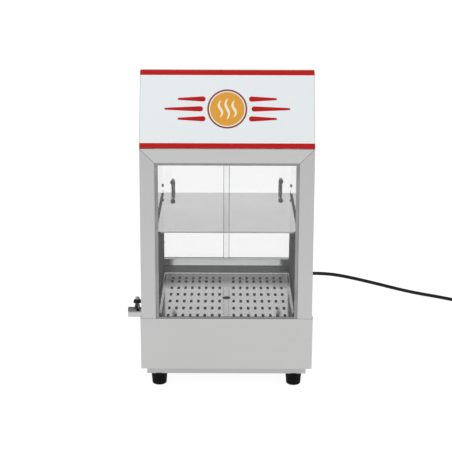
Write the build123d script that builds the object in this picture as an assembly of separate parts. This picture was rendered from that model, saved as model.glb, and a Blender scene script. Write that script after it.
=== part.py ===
from build123d import *
import os
from math import atan2, cos, degrees, hypot, pi, radians, sin, tan

# Counter-top hot dog steamer. A folded stainless base holds the water pan, heater and controls; the glazed
# cabinet above it holds a slotted steaming tray and a bun shelf, and opens at the back through two sliding
# glass doors. Millimetres. +Z is up and the customer's side faces -Y. Everything below is laid out about the
# cabinet's middle plane on the ground, and moved to the middle of the whole footprint when it is written.

# ---- driving dimensions ----------------------------------------------------------------------------------
# Sheet metal and glass
sheet = 1.0                 # folded stainless sheet
frame_sheet = 1.2           # window frame channels
shelf_sheet = 1.2
glass_thickness = 4.0
seat_gap = 0.05             # between pieces that are set into each other
slide_gap = 0.3             # between pieces that move past each other

# Base housing
base_width = 350.0
base_depth = 370.0
base_height = 110.5         # from the casing's lower edge to the deck's top
cover_height = 17.0
cover_inset_side = 10.7
cover_inset_front = 15.0
foot_height = 27.0
corner_bend = 2.5           # outside radius of the base's front corners
side_lip = 15.0             # casing's inward flanges
front_lip = 6.0
lower_lip = 20.0
rear_return = 12.0
panel_screw = 3.2
panel_screw_head = 6.5
panel_screw_head_height = 2.2
panel_screw_length = 8.0
panel_screw_edge = 1.0
cover_corner = 4.0
cover_slots = 9
cover_slot_pitch = 14.0
cover_slot_length = 60.0
cover_slot_width = 4.0
cover_slot_inset = 75.0     # slots' middle from the base's rear

# Cabinet above the base
cabinet_inset = 2.0         # base's side to the cabinet's side
cabinet_depth = 352.0
stile_width = 29.5          # window frame's upright, and the depth of the hollow side walls
window_rise = 345.5         # deck to the top of the window frame
window_setback = 28.0       # how far that top edge leans back
sign_rise = 146.0
sign_setback = 68.0
roof_fall = 56.0            # from the sign's top edge to the cabinet's back
stile_depth = 18.0          # window frame channels, front to back
top_rail_height = 28.0
sign_thickness = 3.0
sign_joint = 1.5            # gap between the window frame and the sign
sign_corner = 5.0
sign_lip = 12.0             # side panel's flange behind the sign
roof_flange = 12.0
roof_flange_inset = 30.0    # from the roof's front and back
liner_flange = 13.0         # foot flange of the inner walls
liner_screw = 4.0
liner_screw_head = 7.0
liner_screw_head_height = 2.4
liner_screw_edge = 1.5
liner_screw_length = 9.0
liner_screw_setback = 9.0   # behind the sill's front
liner_screw_low = 60.0      # above the deck
liner_screw_high = 350.0
liner_screw_drop = 5.0      # middle screw below the handles' upper fixing

# Window glass and its seal
seal_side = 6.5             # seal showing beside the glass
seal_top = 5.0
seal_bottom = 2.5
seal_cover = 4.0            # how much of the glass edge the seal holds
seal_bottom_cover = 1.5
seal_setback = 1.5          # behind the frame's face
seal_lip = 1.2              # seal in front of and behind the glass

# Water pan, steaming tray and bun shelf
well_margin = 2.5           # inner wall to the well
well_front = 8.0            # from the base's front to the well
well_depth = 250.0
pan_depth = 73.5            # below the deck's underside, inside
pan_flange = 10.0
pan_corner = 6.0
pan_floor_corner = 4.0
tray_play = 3.0             # well's side to the tray
tray_front = 14.0           # from the base's front to the tray
tray_depth = 240.0
tray_wall = 16.0            # above the tray floor
tray_front_wall = 5.0
tray_floor_drop = 7.5       # tray floor below the deck's top
tray_corner = 5.0
rim_hem = 1.0               # the hem's extra thickness, outwards
rim_height = 3.0
slot_columns = 8            # each side of the finger hole's column
slot_pitch = 15.0
slot_rows = 6
row_pitch = 40.8
slot_width = 4.8
slot_length = 15.5
slot_shift = 6.0            # slots' middle behind the tray's middle
finger_hole = 18.0          # diameter
rail_ledge = 12.0           # angle rails the tray rests on
rail_leg = 16.0
shelf_height = 176.5        # shelf's top above the deck
shelf_play = 3.0            # inner wall to the shelf
shelf_front = 27.0          # from the base's front to the shelf
shelf_behind = 5.5          # shelf's back to the inner door
shelf_hem = 3.0
shelf_corner = 3.0
ledge = 10.0                # wall flanges the shelf rests on

# Rear sill, door tracks and doors
sill_reach = 45.0           # from the cabinet's rear
sill_riser = 8.5
sill_slope_run = 11.0
sill_slope_rise = 13.0
sill_dip = 12.0              # channel for the lower track below the slope's top
sill_depth = 40.0
door_reach = 28.5           # from the cabinet's rear to the inner door's face
door_pitch = 10.0           # inner door to outer door
groove_play = 0.5           # each side of the glass
track_web = 1.5
track_fin = 2.0
lower_fin_height = 6.0
upper_fin_height = 17.0
header_height = 411.5       # header's underside above the deck
header_return = 32.0
header_lip = 10.0
door_lift = 8.5             # free height above a door, to lift it out
door_stop_gap = 1.0         # door edge to the inner wall
inner_door_edge = 5.8       # closing edges, from the middle plane
outer_door_edge = -7.6
door_travel = 105.0

# Door handles
handle_inset = 22.0         # from the inner wall
handle_top = 198.5          # upper fixing above the deck
handle_centres = 96.0
handle_bar = 9.0
handle_reach = 24.0         # bar's axis from the glass
handle_bend = 11.0
handle_screw = 5.0
screw_cap = 11.0
screw_cap_height = 4.5
screw_cap_edge = 3.5
screw_bite = 9.0

# Feet
foot_x = 139.5
foot_inset = 30.0           # foot centre from the base's front and back
foot_top = 34.0
foot_bottom = 29.5
foot_edge = 2.0
foot_recess = 12.0
foot_screw = 5.0
foot_screw_play = 0.4
foot_screw_tip = 2.0        # past the nut
foot_counterbore = 12.0     # diameter
screw_head = 10.0
screw_head_edge = 1.5
screw_head_height = 3.5
foot_nut = 8.0              # across flats
foot_nut_height = 4.0

# Drain valve, on the left side
valve_stem_reach = 19.5     # stem axis from the base's side
valve_y = -5.0
valve_above_pan = 18.0      # bore axis above the pan floor
valve_diameter = 22.5
valve_edge = 1.0
valve_reach = 40.0          # from the base's side
nipple_outside = 19.0
casing_hole_play = 2.0      # casing's hole to the drain nipple, on the diameter
nipple_bore = 12.5
nipple_inset = 6.0          # reaches into the pan
ball_radius = 9.0
ball_bore = 11.5
seat_bore = 12.5
outlet_bore = 13.5
seat_reach = 10.9           # seat's back from the stem axis
seat_face = 6.2             # seat's front from the stem axis
stem_diameter = 6.0
stem_boss = 11.0
stem_boss_height = 6.0
stem_tang = 2.6
stem_tang_depth = 3.0
lever_height = 21.5         # lever's underside above the bore axis
lever_hub = 14.6
lever_thickness = 8.0
lever_edge = 1.2
lever_arm = 29.0
lever_width = 7.4
lever_droop = 4.0           # degrees
arm_step = 1.5              # arm thinner than the hub by this
arm_edge = 1.5
wing_reach = 1.0            # stop wing beyond the hub
wing_start = 2.0            # from the stem's axis
wing_edge = 2.0
nut_height = 4.0
nut_flats = 8.5
stem_tip = 1.5              # past the nut
locknut = 24.0              # across flats
locknut_height = 4.0

# Heating element
element_diameter = 8.0
element_above_pan = 11.0
element_half_width = 105.0
element_front = 28.0        # from the well's front
element_back = 28.0         # from the well's back
element_leg = 25.0          # half the spacing of the two ends
element_bend = 22.0
element_collar = 14.0
element_collar_length = 5.0
element_pin = 8.0           # bare end past the threaded neck
element_neck = 12.0
element_tail = 20.0         # past the pan's wall
element_nut = 17.0
element_nut_height = 5.0

# Controls on the rear panel: x from the middle plane, z above the casing's lower edge
knob_x = -92.0
knob_z = 58.0
knob_diameter = 38.0
knob_height = 17.0
knob_gap = 2.0              # from the panel
knob_recess = 6.0
knob_recess_width = 20.0
knob_skirt = 5.0
knob_skirt_edge = 1.5
knob_grip = 27.4            # diameter
knob_grip_edge = 2.0
knob_crown = 4.0            # over the spindle's end
knob_flutes = 12            # the pointer takes one's place
flute_radius = 14.3         # flutes' axes from the knob's axis
flute_width = 4.0
pointer_width = 2.4
pointer_inset = 1.5         # pointer's end from the skirt's edge
spindle_diameter = 6.0
spindle_flat = 1.8          # from the axis
spindle_socket = 12.0       # depth in the thermostat
thermostat_size = 34.0
thermostat_depth = 27.0
thermostat_edge = 3.0
terminal_width = 6.0        # flat tabs of the thermostat
terminal_length = 8.0
terminal_thickness = 1.0
terminal_pitch = 10.0
terminal_drop = 10.0        # below the axis
capillary_diameter = 2.0
capillary_side = 12.0       # from the thermostat's axis, sideways and up
capillary_run = 20.0        # out of the thermostat before it turns down
capillary_bend = 8.0
bulb_diameter = 6.0
bulb_length = 75.0
bulb_edge = 2.0
bulb_drop = 4.0             # bulb's axis below the pan
bulb_behind = 43.0          # bulb's end in front of the pan's rear
cutout_x = 40.0
cutout_behind = 63.0        # in front of the pan's rear
cutout_diameter = 16.0
cutout_height = 9.0
cutout_ear_width = 28.0
cutout_ear_depth = 6.0
cutout_ear_thickness = 1.2
cutout_tab_width = 6.0
cutout_tab_length = 8.0
cutout_tab_thickness = 0.8
cutout_tab_spacing = 10.0
bush_diameter = 9.5
bush_length = 6.0
switch_x = 20.0
switch_z = 58.0
switch_width = 15.0
switch_height = 21.0
switch_bezel = 2.0
switch_corner = 1.5
switch_well = 7.0           # depth of the rocker's recess
switch_depth = 18.0
rocker_tilt = 9.0           # degrees each side of level
rocker_rise = 5.5           # ends above the pivot
rocker_waist = 1.6          # middle lower than the ends
rocker_root = 3.0           # below the pivot
rocker_pivot = 2.0          # below the panel
rocker_pin = 2.4            # diameter
rocker_pin_reach = 0.8      # into each side wall of the housing
switch_tab_width = 6.0
switch_tab_length = 8.0
switch_tab_thickness = 0.8
switch_tab_pitch = 6.0
lamp_x = -30.0
lamp_spacing = 20.0
lamp_z = 58.0
lamp_bezel = 13.0
lamp_lens = 9.0
lamp_barrel = 10.0
lamp_bezel_height = 1.6
lamp_bezel_edge = 0.8
lamp_lens_height = 3.4
lamp_lens_edge = 2.4
lamp_depth = 20.0           # behind the panel's face
hole_play = 0.4             # holes of the rear panel over what passes through
gland_x = 148.0
gland_z = 46.0
gland_flange = 22.0
gland_barrel = 14.0
gland_length = 37.0
gland_flange_height = 3.0
gland_flange_edge = 1.0
gland_inner = 8.0           # barrel inside the panel
gland_sleeve = 16.0         # sleeve's diameter at the flange
gland_wall = 1.2            # sleeve's wall at its tip
gland_rings = 5
gland_ring_start = 8.0      # first groove from the panel
gland_ring_pitch = 5.5
gland_ring_width = 1.6
gland_ring_depth = 0.8
gland_nut = 20.0
gland_nut_height = 5.0
vent_x = 75.0
vent_slots = 7
vent_pitch = 9.0
vent_width = 3.0
vent_length = 34.0
vent_z = 58.0

# Terminal block on the bottom cover
block_inset = 47.0          # its middle from the base's rear
block_length = 44.0
block_depth = 20.0
block_foot = 6.0
block_body_depth = 14.0
block_height = 16.0
block_pitch = 14.0
block_screw_hole = 5.0
block_screw_depth = 6.0
block_wire_hole = 4.0
block_wire_height = 9.0

# Power cord
cord_diameter = 8.4
coil_radius = 47.25         # middle of the turns
coil_width = 17.0
coil_x = 612.0
coil_y = 231.0
coil_corner = 5.0
lead_length = 45.0          # last turn's side to the plug's sleeve
plug_sleeve = 22.0
plug_sleeve_wall = 1.5
plug_sleeve_taper = 5.0     # degrees
plug_width = 26.0
plug_depth = 28.0
plug_side_edge = 6.0
plug_back_edge = 3.0
blade_spacing = 12.7
blade_width = 6.4
blade_thickness = 1.5
blade_length = 16.0
blade_rise = 2.0            # blades above the plug's axis
earth_drop = 6.0            # pin below the plug's axis
earth_diameter = 4.8
earth_length = 19.0

# ---- levels and planes worked out from them ---------------------------------------------------------------
front_y = -base_depth / 2
rear_y = base_depth / 2
cover_z = foot_height
casing_z = cover_z + cover_height
deck_z = casing_z + base_height
half_base = base_width / 2
half_cabinet = half_base - cabinet_inset
half_inner = half_cabinet - stile_width
half_well = half_inner - well_margin
half_tray = half_well - tray_play
half_shelf = half_inner - shelf_play
cabinet_rear = front_y + cabinet_depth
nipple_hole = nipple_outside + 2 * seat_gap
neck_hole = element_neck + 2 * seat_gap

lean = degrees(atan2(window_setback, window_rise))
window_slant = hypot(window_setback, window_rise)
window_plane = Plane((0, front_y, deck_z), (1, 0, 0), (0, -cos(radians(lean)), sin(radians(lean))))
sign_lean = degrees(atan2(sign_setback, sign_rise))
sign_slant = hypot(sign_setback, sign_rise)
sign_y = front_y + window_setback
sign_z = deck_z + window_rise
sign_plane = Plane((0, sign_y, sign_z), (1, 0, 0), (0, -cos(radians(sign_lean)), sin(radians(sign_lean))))
roof_y = sign_y + sign_setback
roof_z = sign_z + sign_rise
roof_pitch = degrees(atan2(roof_fall, cabinet_rear - roof_y))
roof_slant = hypot(roof_fall, cabinet_rear - roof_y)

well_y = front_y + well_front
well_back = well_y + well_depth
pan_floor_z = deck_z - sheet - pan_depth
tray_floor_z = deck_z - tray_floor_drop
tray_y = front_y + tray_front
tray_back = tray_y + tray_depth
slot_centre_y = tray_y + tray_depth / 2 + slot_shift
shelf_z = deck_z + shelf_height
shelf_y = front_y + shelf_front
ledge_z = shelf_z - shelf_sheet
sill_y = cabinet_rear - sill_reach
sill_top_z = deck_z + sill_riser + sill_slope_rise
track_z = sill_top_z - sill_dip
header_z = deck_z + header_height
inner_door_y = cabinet_rear - door_reach
outer_door_y = inner_door_y + door_pitch
shelf_back = inner_door_y - shelf_behind
door_z = track_z + track_web + slide_gap
door_top = header_z - track_web - door_lift
handle_x = half_inner - handle_inset
handle_z = deck_z + handle_top
valve_x = half_base + valve_stem_reach
valve_z = pan_floor_z + valve_above_pan
element_z = pan_floor_z + element_above_pan
lever_z = valve_z + lever_height
plug_x = coil_x + coil_radius + cord_diameter / 2
plug_y = coil_y - lead_length
plug_z = coil_width - cord_diameter / 2

# The written origin is the middle of the footprint, drain valve and thermostat knob included.
left_reach = half_base + valve_reach
rear_reach = rear_y + knob_gap + knob_height
origin = Pos((left_reach - half_base) / 2, -(rear_reach + front_y) / 2, 0)


# ---- shared shapes ---------------------------------------------------------------------------------------
def block(x0, x1, y0, y1, z0, z1):
    """A rectangular block between two corners."""
    return Pos((x0 + x1) / 2, (y0 + y1) / 2, (z0 + z1) / 2) * Box(x1 - x0, y1 - y0, z1 - z0)


def plate(points, x0, x1):
    """A flat plate across X whose outline is a list of (y, z) points."""
    outline = Plane.YZ * make_face(Polyline(*points, close=True))
    return Pos(x0, 0, 0) * extrude(outline, x1 - x0)


def round_bar(start, axis, diameter, length):
    """A cylinder from a point along an axis."""
    return extrude(Plane(start, z_dir=axis) * Circle(diameter / 2), length)


def hex_nut(start, axis, flats, height, bore):
    """A hexagon nut from a point along an axis."""
    place = Plane(start, z_dir=axis)
    body = extrude(place * RegularPolygon(flats / 2, 6, major_radius=False), height)
    return body - extrude(place * Circle(bore / 2), height)


def mirrored(shape):
    """The same shape on the other side of the cabinet's middle plane."""
    return mirror(shape, Plane.YZ)


def group(shapes):
    """Separate pieces kept together in one node."""
    return Compound([solid for shape in shapes for solid in shape.solids()])


def window_point(up, behind):
    """(y, z) of a point up the window plane and behind its face."""
    a = radians(lean)
    return front_y + up * sin(a) + behind * cos(a), deck_z + up * cos(a) - behind * sin(a)


def window_line_y(z, behind):
    """y of the plane behind the window face, at a height."""
    a = radians(lean)
    return front_y + behind / cos(a) + (z - deck_z) * tan(a)


def sign_line_y(z, behind):
    """y of the plane behind the sign's face, at a height."""
    a = radians(sign_lean)
    return sign_y + behind / cos(a) + (z - sign_z) * tan(a)


def roof_line_z(y, below):
    """z of the plane under the roof's top face, at a depth."""
    a = radians(roof_pitch)
    return roof_z - below / cos(a) - (y - roof_y) * tan(a)


# ---- base housing ----------------------------------------------------------------------------------------
def base_casing():
    """Front and sides in one folded sheet, with flanges turned in above, below and at the back."""
    back = rear_y - sheet
    top = deck_z - sheet
    outside = block(-half_base, half_base, front_y, back, casing_z, top)
    outside = fillet(outside.edges().filter_by(Axis.Z).group_by(Axis.Y)[0], corner_bend)
    inside = block(-half_base + sheet, half_base - sheet, front_y + sheet, back - sheet,
                   casing_z + sheet, top - sheet)
    upper = block(-half_base + side_lip, half_base - side_lip, front_y + front_lip, rear_y, top - sheet, top)
    lower = block(-half_base + lower_lip, half_base - lower_lip, front_y + lower_lip, rear_y - lower_lip,
                  casing_z, casing_z + sheet)
    behind = block(-half_base + rear_return, half_base - rear_return, back - sheet, back,
                   casing_z + rear_return, top)
    holes = [round_bar((-half_base, valve_y, valve_z), (1, 0, 0), nipple_outside + casing_hole_play, sheet)]
    for x, z in panel_screw_places():
        holes.append(round_bar((x, back - sheet, z), (0, 1, 0), panel_screw + 2 * seat_gap, sheet))
    return outside - inside - upper - lower - behind - holes


def base_deck():
    """Top sheet of the base, with the opening of the well."""
    deck = block(-half_base, half_base, front_y, rear_y, deck_z - sheet, deck_z)
    deck = fillet(deck.edges().filter_by(Axis.Z).group_by(Axis.Y)[0], corner_bend)
    well = block(-half_well, half_well, well_y, well_back, deck_z - sheet, deck_z)
    return deck - fillet(well.edges().filter_by(Axis.Z), pan_corner)


def panel_screw_places():
    """(x, z) of the rear panel's screws, in its edge flanges."""
    x = half_base - rear_return / 2
    low = casing_z + rear_return / 2
    high = deck_z - sheet - rear_return / 2
    return [(-x, low), (0, low), (x, low), (-x, high), (x, high)]


def rear_panel():
    """Removable panel that carries the controls."""
    panel = block(-half_base, half_base, rear_y - sheet, rear_y, casing_z, deck_z - sheet)
    inner = rear_y - sheet
    holes = [round_bar((knob_x, inner, casing_z + knob_z), (0, 1, 0), bush_diameter + hole_play, sheet)]
    for x in (lamp_x, lamp_x + lamp_spacing):
        holes.append(round_bar((x, inner, casing_z + lamp_z), (0, 1, 0), lamp_barrel + hole_play, sheet))
    holes.append(round_bar((gland_x, inner, casing_z + gland_z), (0, 1, 0), gland_barrel + hole_play, sheet))
    half_w = switch_width / 2 - switch_bezel / 2 + seat_gap
    half_h = switch_height / 2 - switch_bezel / 2 + seat_gap
    z = casing_z + switch_z
    holes.append(block(switch_x - half_w, switch_x + half_w, inner, rear_y, z - half_h, z + half_h))
    for x, screw_z in panel_screw_places():
        holes.append(round_bar((x, inner, screw_z), (0, 1, 0), panel_screw + 4 * seat_gap, sheet))
    return panel - holes - vent_holes()


def vent_holes():
    """A row of upright slots through the rear panel."""
    holes = []
    for n in range(vent_slots):
        x = vent_x + (n - (vent_slots - 1) / 2) * vent_pitch
        place = Plane((x, rear_y - sheet, casing_z + vent_z), (0, 0, 1), (0, 1, 0))
        holes.append(extrude(place * SlotOverall(vent_length, vent_width), sheet))
    return holes


def panel_screws():
    """Pan-head screws of the rear panel, through the panel and the casing's flange."""
    screws = []
    for x, z in panel_screw_places():
        head = round_bar((x, rear_y, z), (0, 1, 0), panel_screw_head, panel_screw_head_height)
        head = fillet(head.edges().group_by(Axis.Y)[-1], panel_screw_edge)
        shank = round_bar((x, rear_y, z), (0, -1, 0), panel_screw, panel_screw_length)
        screws.append(head + shank)
    return group(screws)


def foot_places():
    return [(x, y) for x in (-foot_x, foot_x) for y in (front_y + foot_inset, rear_y - foot_inset)]


def bottom_cover():
    """Shallow pan that closes the base from below, inset all round, with cooling slots."""
    x = half_base - cover_inset_side
    y = rear_y - cover_inset_front
    cover = block(-x, x, -y, y, cover_z, casing_z)
    cover = fillet(cover.edges().filter_by(Axis.Z), cover_corner)
    hollow = block(-x + sheet, x - sheet, -y + sheet, y - sheet, cover_z + sheet, casing_z)
    cover -= fillet(hollow.edges().filter_by(Axis.Z), cover_corner - sheet)
    foot_hole = foot_screw + foot_screw_play
    holes = [round_bar((fx, fy, cover_z), (0, 0, 1), foot_hole, sheet) for fx, fy in foot_places()]
    for n in range(cover_slots):
        slot_x = (n - (cover_slots - 1) / 2) * cover_slot_pitch
        place = Plane((slot_x, rear_y - cover_slot_inset, cover_z)) * Rot(0, 0, 90)
        holes.append(extrude(place * SlotOverall(cover_slot_length, cover_slot_width), sheet))
    return cover - holes


def foot(x, y):
    """Tapered rubber foot with a rounded ground edge and a recess for its screw."""
    top, low = foot_top / 2, foot_bottom / 2
    body = extrude(Plane.XY * Circle(low), foot_height, taper=-degrees(atan2(top - low, foot_height)))
    body = fillet(body.edges().group_by(Axis.Z)[0], foot_edge)
    body -= extrude(Plane.XY * Circle(foot_counterbore / 2), foot_recess)
    body -= extrude(Plane.XY * Circle((foot_screw + foot_screw_play) / 2), foot_height)
    return Pos(x, y, 0) * body


def feet():
    return group([foot(x, y) for x, y in foot_places()])


def foot_fasteners():
    """A screw and a nut for each foot."""
    pieces = []
    for x, y in foot_places():
        head = round_bar((x, y, foot_recess - screw_head_height), (0, 0, 1), screw_head, screw_head_height)
        head = fillet(head.edges().group_by(Axis.Z)[0], screw_head_edge)
        nut_z = cover_z + sheet
        shank_length = nut_z + foot_nut_height + foot_screw_tip - foot_recess
        pieces.append(head + round_bar((x, y, foot_recess), (0, 0, 1), foot_screw, shank_length))
        pieces.append(hex_nut((x, y, nut_z), (0, 0, 1), foot_nut, foot_nut_height, foot_screw + 2 * seat_gap))
    return group(pieces)


# ---- water pan and what heats and drains it --------------------------------------------------------------
def water_pan():
    """Pressed pan under the deck, with a flange, a drain hole and two holes for the element."""
    half = half_well
    flange_z = deck_z - 2 * sheet
    outside = block(-half - sheet, half + sheet, well_y - sheet, well_back + sheet,
                    pan_floor_z - sheet, deck_z - sheet)
    outside = fillet(outside.edges().filter_by(Axis.Z), pan_corner + sheet)
    outside = fillet(outside.edges().group_by(Axis.Z)[0], pan_floor_corner + sheet)
    inside = block(-half, half, well_y, well_back, pan_floor_z, deck_z - sheet)
    inside = fillet(inside.edges().filter_by(Axis.Z), pan_corner)
    inside = fillet(inside.edges().group_by(Axis.Z)[0], pan_floor_corner)
    flange = block(-half - pan_flange, half + pan_flange, well_y - sheet, well_back + pan_flange,
                   flange_z, deck_z - sheet)
    pan = outside + flange - inside
    pan -= round_bar((-half - 2 * sheet, valve_y, valve_z), (1, 0, 0), nipple_hole, 3 * sheet)
    for x in (-element_leg, element_leg):
        pan -= round_bar((x, well_back - sheet, element_z), (0, 1, 0), neck_hole, 3 * sheet)
    return pan


def tray_rails():
    """Two angle rails on the pan's side walls; the steaming tray rests on them."""
    wall = half_well
    y0, y1 = well_y + pan_corner, well_back - pan_corner
    top = tray_floor_z - sheet
    rail = block(wall - rail_ledge, wall, y0, y1, top - sheet, top)
    rail += block(wall - sheet, wall, y0, y1, top - rail_leg, top - sheet)
    return group([rail, mirrored(rail)])


def heating_element():
    """Tubular immersion element, one flat loop, with a brazed collar and threaded neck at each end."""
    front = well_y + element_front
    back = well_back - element_back
    end = well_back + sheet + element_tail
    left = [(-element_leg, end), (-element_leg, back), (-element_half_width, back),
            (-element_half_width, front)]
    corners = left + [(-x, y) for x, y in reversed(left)]
    path = FilletPolyline(*[(x, y, element_z) for x, y in corners], radius=element_bend)
    tube = sweep(Plane((-element_leg, end, element_z), z_dir=(0, -1, 0)) * Circle(element_diameter / 2), path)
    for x in (-element_leg, element_leg):
        tube += round_bar((x, well_back, element_z), (0, -1, 0), element_collar, element_collar_length)
        tube += round_bar((x, well_back, element_z), (0, 1, 0), element_neck, element_tail - element_pin)
    return tube


def pan_locknuts():
    """Locknuts of the element's two necks and of the drain nipple."""
    outer_wall = well_back + sheet
    nuts = [hex_nut((x, outer_wall, element_z), (0, 1, 0), element_nut, element_nut_height, neck_hole)
            for x in (-element_leg, element_leg)]
    for x in (-half_well + locknut_height, -half_well - sheet):
        nuts.append(hex_nut((x, valve_y, valve_z), (-1, 0, 0), locknut, locknut_height, nipple_hole))
    return group(nuts)


def drain_nipple():
    """Tube from inside the pan, through the casing's side, into the valve."""
    start = -half_well + nipple_inset
    end = -valve_x + seat_reach + slide_gap
    tube = round_bar((start, valve_y, valve_z), (-1, 0, 0), nipple_outside, start - end)
    return tube - round_bar((start, valve_y, valve_z), (-1, 0, 0), nipple_bore, start - end)


# ---- drain valve -----------------------------------------------------------------------------------------
def valve_body():
    """Chromed barrel with a ball chamber, an outlet bore and a boss for the stem."""
    inner_end = -half_base - slide_gap
    outer_end = -half_base - valve_reach
    barrel = round_bar((inner_end, valve_y, valve_z), (-1, 0, 0), valve_diameter, inner_end - outer_end)
    barrel = fillet(barrel.edges().group_by(Axis.X)[0], valve_edge)
    boss_top = valve_z + valve_diameter / 2 + stem_boss_height
    barrel += round_bar((-valve_x, valve_y, valve_z), (0, 0, 1), stem_boss, boss_top - valve_z)
    chamber_end = -valve_x - seat_reach
    barrel -= round_bar((inner_end, valve_y, valve_z), (-1, 0, 0), nipple_hole, inner_end - chamber_end)
    barrel -= round_bar((chamber_end, valve_y, valve_z), (-1, 0, 0), outlet_bore, chamber_end - outer_end)
    return barrel - round_bar((-valve_x, valve_y, valve_z), (0, 0, 1), stem_diameter + 2 * seat_gap, boss_top)


def valve_seats():
    """Two seat rings that cup the ball."""
    length = seat_reach - seat_face
    ring = round_bar((-seat_reach, 0, 0), (1, 0, 0), nipple_outside, length)
    ring -= round_bar((-seat_reach, 0, 0), (1, 0, 0), seat_bore, length)
    ring -= Sphere(ball_radius + seat_gap)
    return group([Pos(-valve_x, valve_y, valve_z) * piece for piece in (ring, mirrored(ring))])


def valve_ball():
    """Ball with its bore across the flow, as when shut, and a slot for the stem."""
    ball = Sphere(ball_radius) - round_bar((0, -ball_radius, 0), (0, 1, 0), ball_bore, 2 * ball_radius)
    slot_floor = ball_radius - stem_tang_depth
    half_slot = stem_tang / 2 + seat_gap
    ball -= block(-ball_radius, ball_radius, -half_slot, half_slot, slot_floor, ball_radius)
    return Pos(-valve_x, valve_y, valve_z) * ball


def valve_stem():
    """Stem with a flat tang in the ball, square end in the lever and a threaded tip."""
    ball_top = ball_radius - seat_gap
    top = lever_height + lever_thickness + nut_height + stem_tip
    stem = round_bar((0, 0, ball_top), (0, 0, 1), stem_diameter, top - ball_top)
    tang = block(-stem_diameter / 2, stem_diameter / 2, -stem_tang / 2, stem_tang / 2,
                 ball_radius - stem_tang_depth + seat_gap, ball_top)
    return Pos(-valve_x, valve_y, valve_z) * (stem + tang)


def valve_lever():
    """Moulded lever: a round hub on the stem and a drooping arm towards the front when shut."""
    hub = round_bar((0, 0, 0), (0, 0, 1), lever_hub, lever_thickness)
    hub = fillet(hub.edges(), lever_edge)
    arm_length = lever_arm / cos(radians(lever_droop))
    arm = extrude(Plane.XY * Pos(0, -arm_length / 2) * SlotOverall(arm_length + lever_width, lever_width, 90),
                  lever_thickness - arm_step)
    arm = Rot(lever_droop, 0, 0) * fillet(arm.edges().group_by(Axis.Z)[-1], arm_edge)
    wing_x = lever_hub / 2 + wing_reach
    wing = block(-wing_x, wing_x, -lever_hub / 2, -wing_start, arm_step, lever_thickness - arm_step)
    lever = hub + arm + fillet(wing.edges().filter_by(Axis.Z), wing_edge)
    lever -= round_bar((0, 0, -lever_thickness), (0, 0, 1), stem_diameter + 2 * seat_gap, 3 * lever_thickness)
    return Pos(-valve_x, valve_y, lever_z) * lever


def lever_nut():
    """Nut on the stem's tip."""
    return hex_nut((-valve_x, valve_y, lever_z + lever_thickness), (0, 0, 1), nut_flats, nut_height,
                   stem_diameter + 2 * seat_gap)


# ---- cabinet ---------------------------------------------------------------------------------------------
def side_outline(top_below_roof, behind_sign):
    """(y, z) outline of the cabinet's side behind the window frame and the sign."""
    frame_corner = window_point(window_slant, stile_depth)
    over_rail_z = sign_z + sign_joint
    return [(window_line_y(deck_z, stile_depth), deck_z),
            (window_line_y(frame_corner[1] + slide_gap, stile_depth), frame_corner[1] + slide_gap),
            (sign_line_y(over_rail_z, behind_sign), over_rail_z),
            (sign_roof_corner_y(behind_sign, top_below_roof),
             roof_line_z(sign_roof_corner_y(behind_sign, top_below_roof), top_below_roof)),
            (cabinet_rear, roof_line_z(cabinet_rear, top_below_roof)),
            (cabinet_rear, deck_z)]


def sign_roof_corner_y(behind, below):
    """y where a plane behind the sign's face meets a plane under the roof's."""
    a, b = radians(sign_lean), radians(roof_pitch)
    back, down = behind / cos(a), below / cos(b)
    return roof_y + (back - down * tan(a)) / (1 + tan(a) * tan(b))


def left_side_panel():
    """Outer side sheet with a flange behind the sign and a return that closes the wall at the back."""
    x = -half_cabinet
    panel = plate(side_outline(sheet, sign_thickness), x, x + sheet)
    flange = Pos(x + sheet + sign_lip / 2, sign_slant / 2) * Rectangle(sign_lip, sign_slant - 2 * roof_flange)
    lip = sign_plane.location * Pos(0, 0, -sign_thickness - sheet) * extrude(flange, sheet)
    closing = block(x + sheet, -half_inner - sheet, cabinet_rear - sheet, cabinet_rear, deck_z, header_z)
    return panel + lip + closing


def lower_liner():
    """Left inner wall below the bun shelf, with a foot flange and a ledge that carries the shelf."""
    x = -half_inner
    front = window_line_y(deck_z, stile_depth)
    outline = [(front, deck_z), (window_line_y(ledge_z, stile_depth), ledge_z),
               (cabinet_rear - sheet, ledge_z), (cabinet_rear - sheet, deck_z)]
    wall = plate(outline, x - sheet, x)
    foot_y = front + 2 * stile_depth
    wall += block(x - sheet - liner_flange, x - sheet, foot_y, sill_y, deck_z, deck_z + sheet)
    wall += block(x, x + ledge, shelf_y, shelf_back, ledge_z - sheet, ledge_z)
    return wall - liner_screw_holes()


def upper_liner():
    """Left inner wall above the bun shelf, up to the roof."""
    x = -half_inner
    frame_corner = window_point(window_slant, stile_depth)
    over_rail_z = sign_z + sign_joint
    behind = sign_thickness + sheet
    corner_y = sign_roof_corner_y(behind, 2 * sheet)
    notch_y = cabinet_rear - header_return - sheet
    outline = [(window_line_y(ledge_z, stile_depth), ledge_z),
               (window_line_y(frame_corner[1] + slide_gap, stile_depth), frame_corner[1] + slide_gap),
               (sign_line_y(over_rail_z, behind), over_rail_z),
               (corner_y, roof_line_z(corner_y, 2 * sheet)), (notch_y, roof_line_z(notch_y, 2 * sheet)),
               (notch_y, header_z), (cabinet_rear - sheet, header_z), (cabinet_rear - sheet, ledge_z)]
    return plate(outline, x - sheet, x) - liner_screw_holes()


def liner_screw_places():
    """(y, z) of the screws near the inner walls' rear edge."""
    y = sill_y + liner_screw_setback
    return [(y, deck_z + liner_screw_low), (y, handle_z - liner_screw_drop), (y, deck_z + liner_screw_high)]


def liner_screw_holes():
    hole = liner_screw + 2 * seat_gap
    return [round_bar((-half_inner - sheet, y, z), (1, 0, 0), hole, sheet) for y, z in liner_screw_places()]


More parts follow.
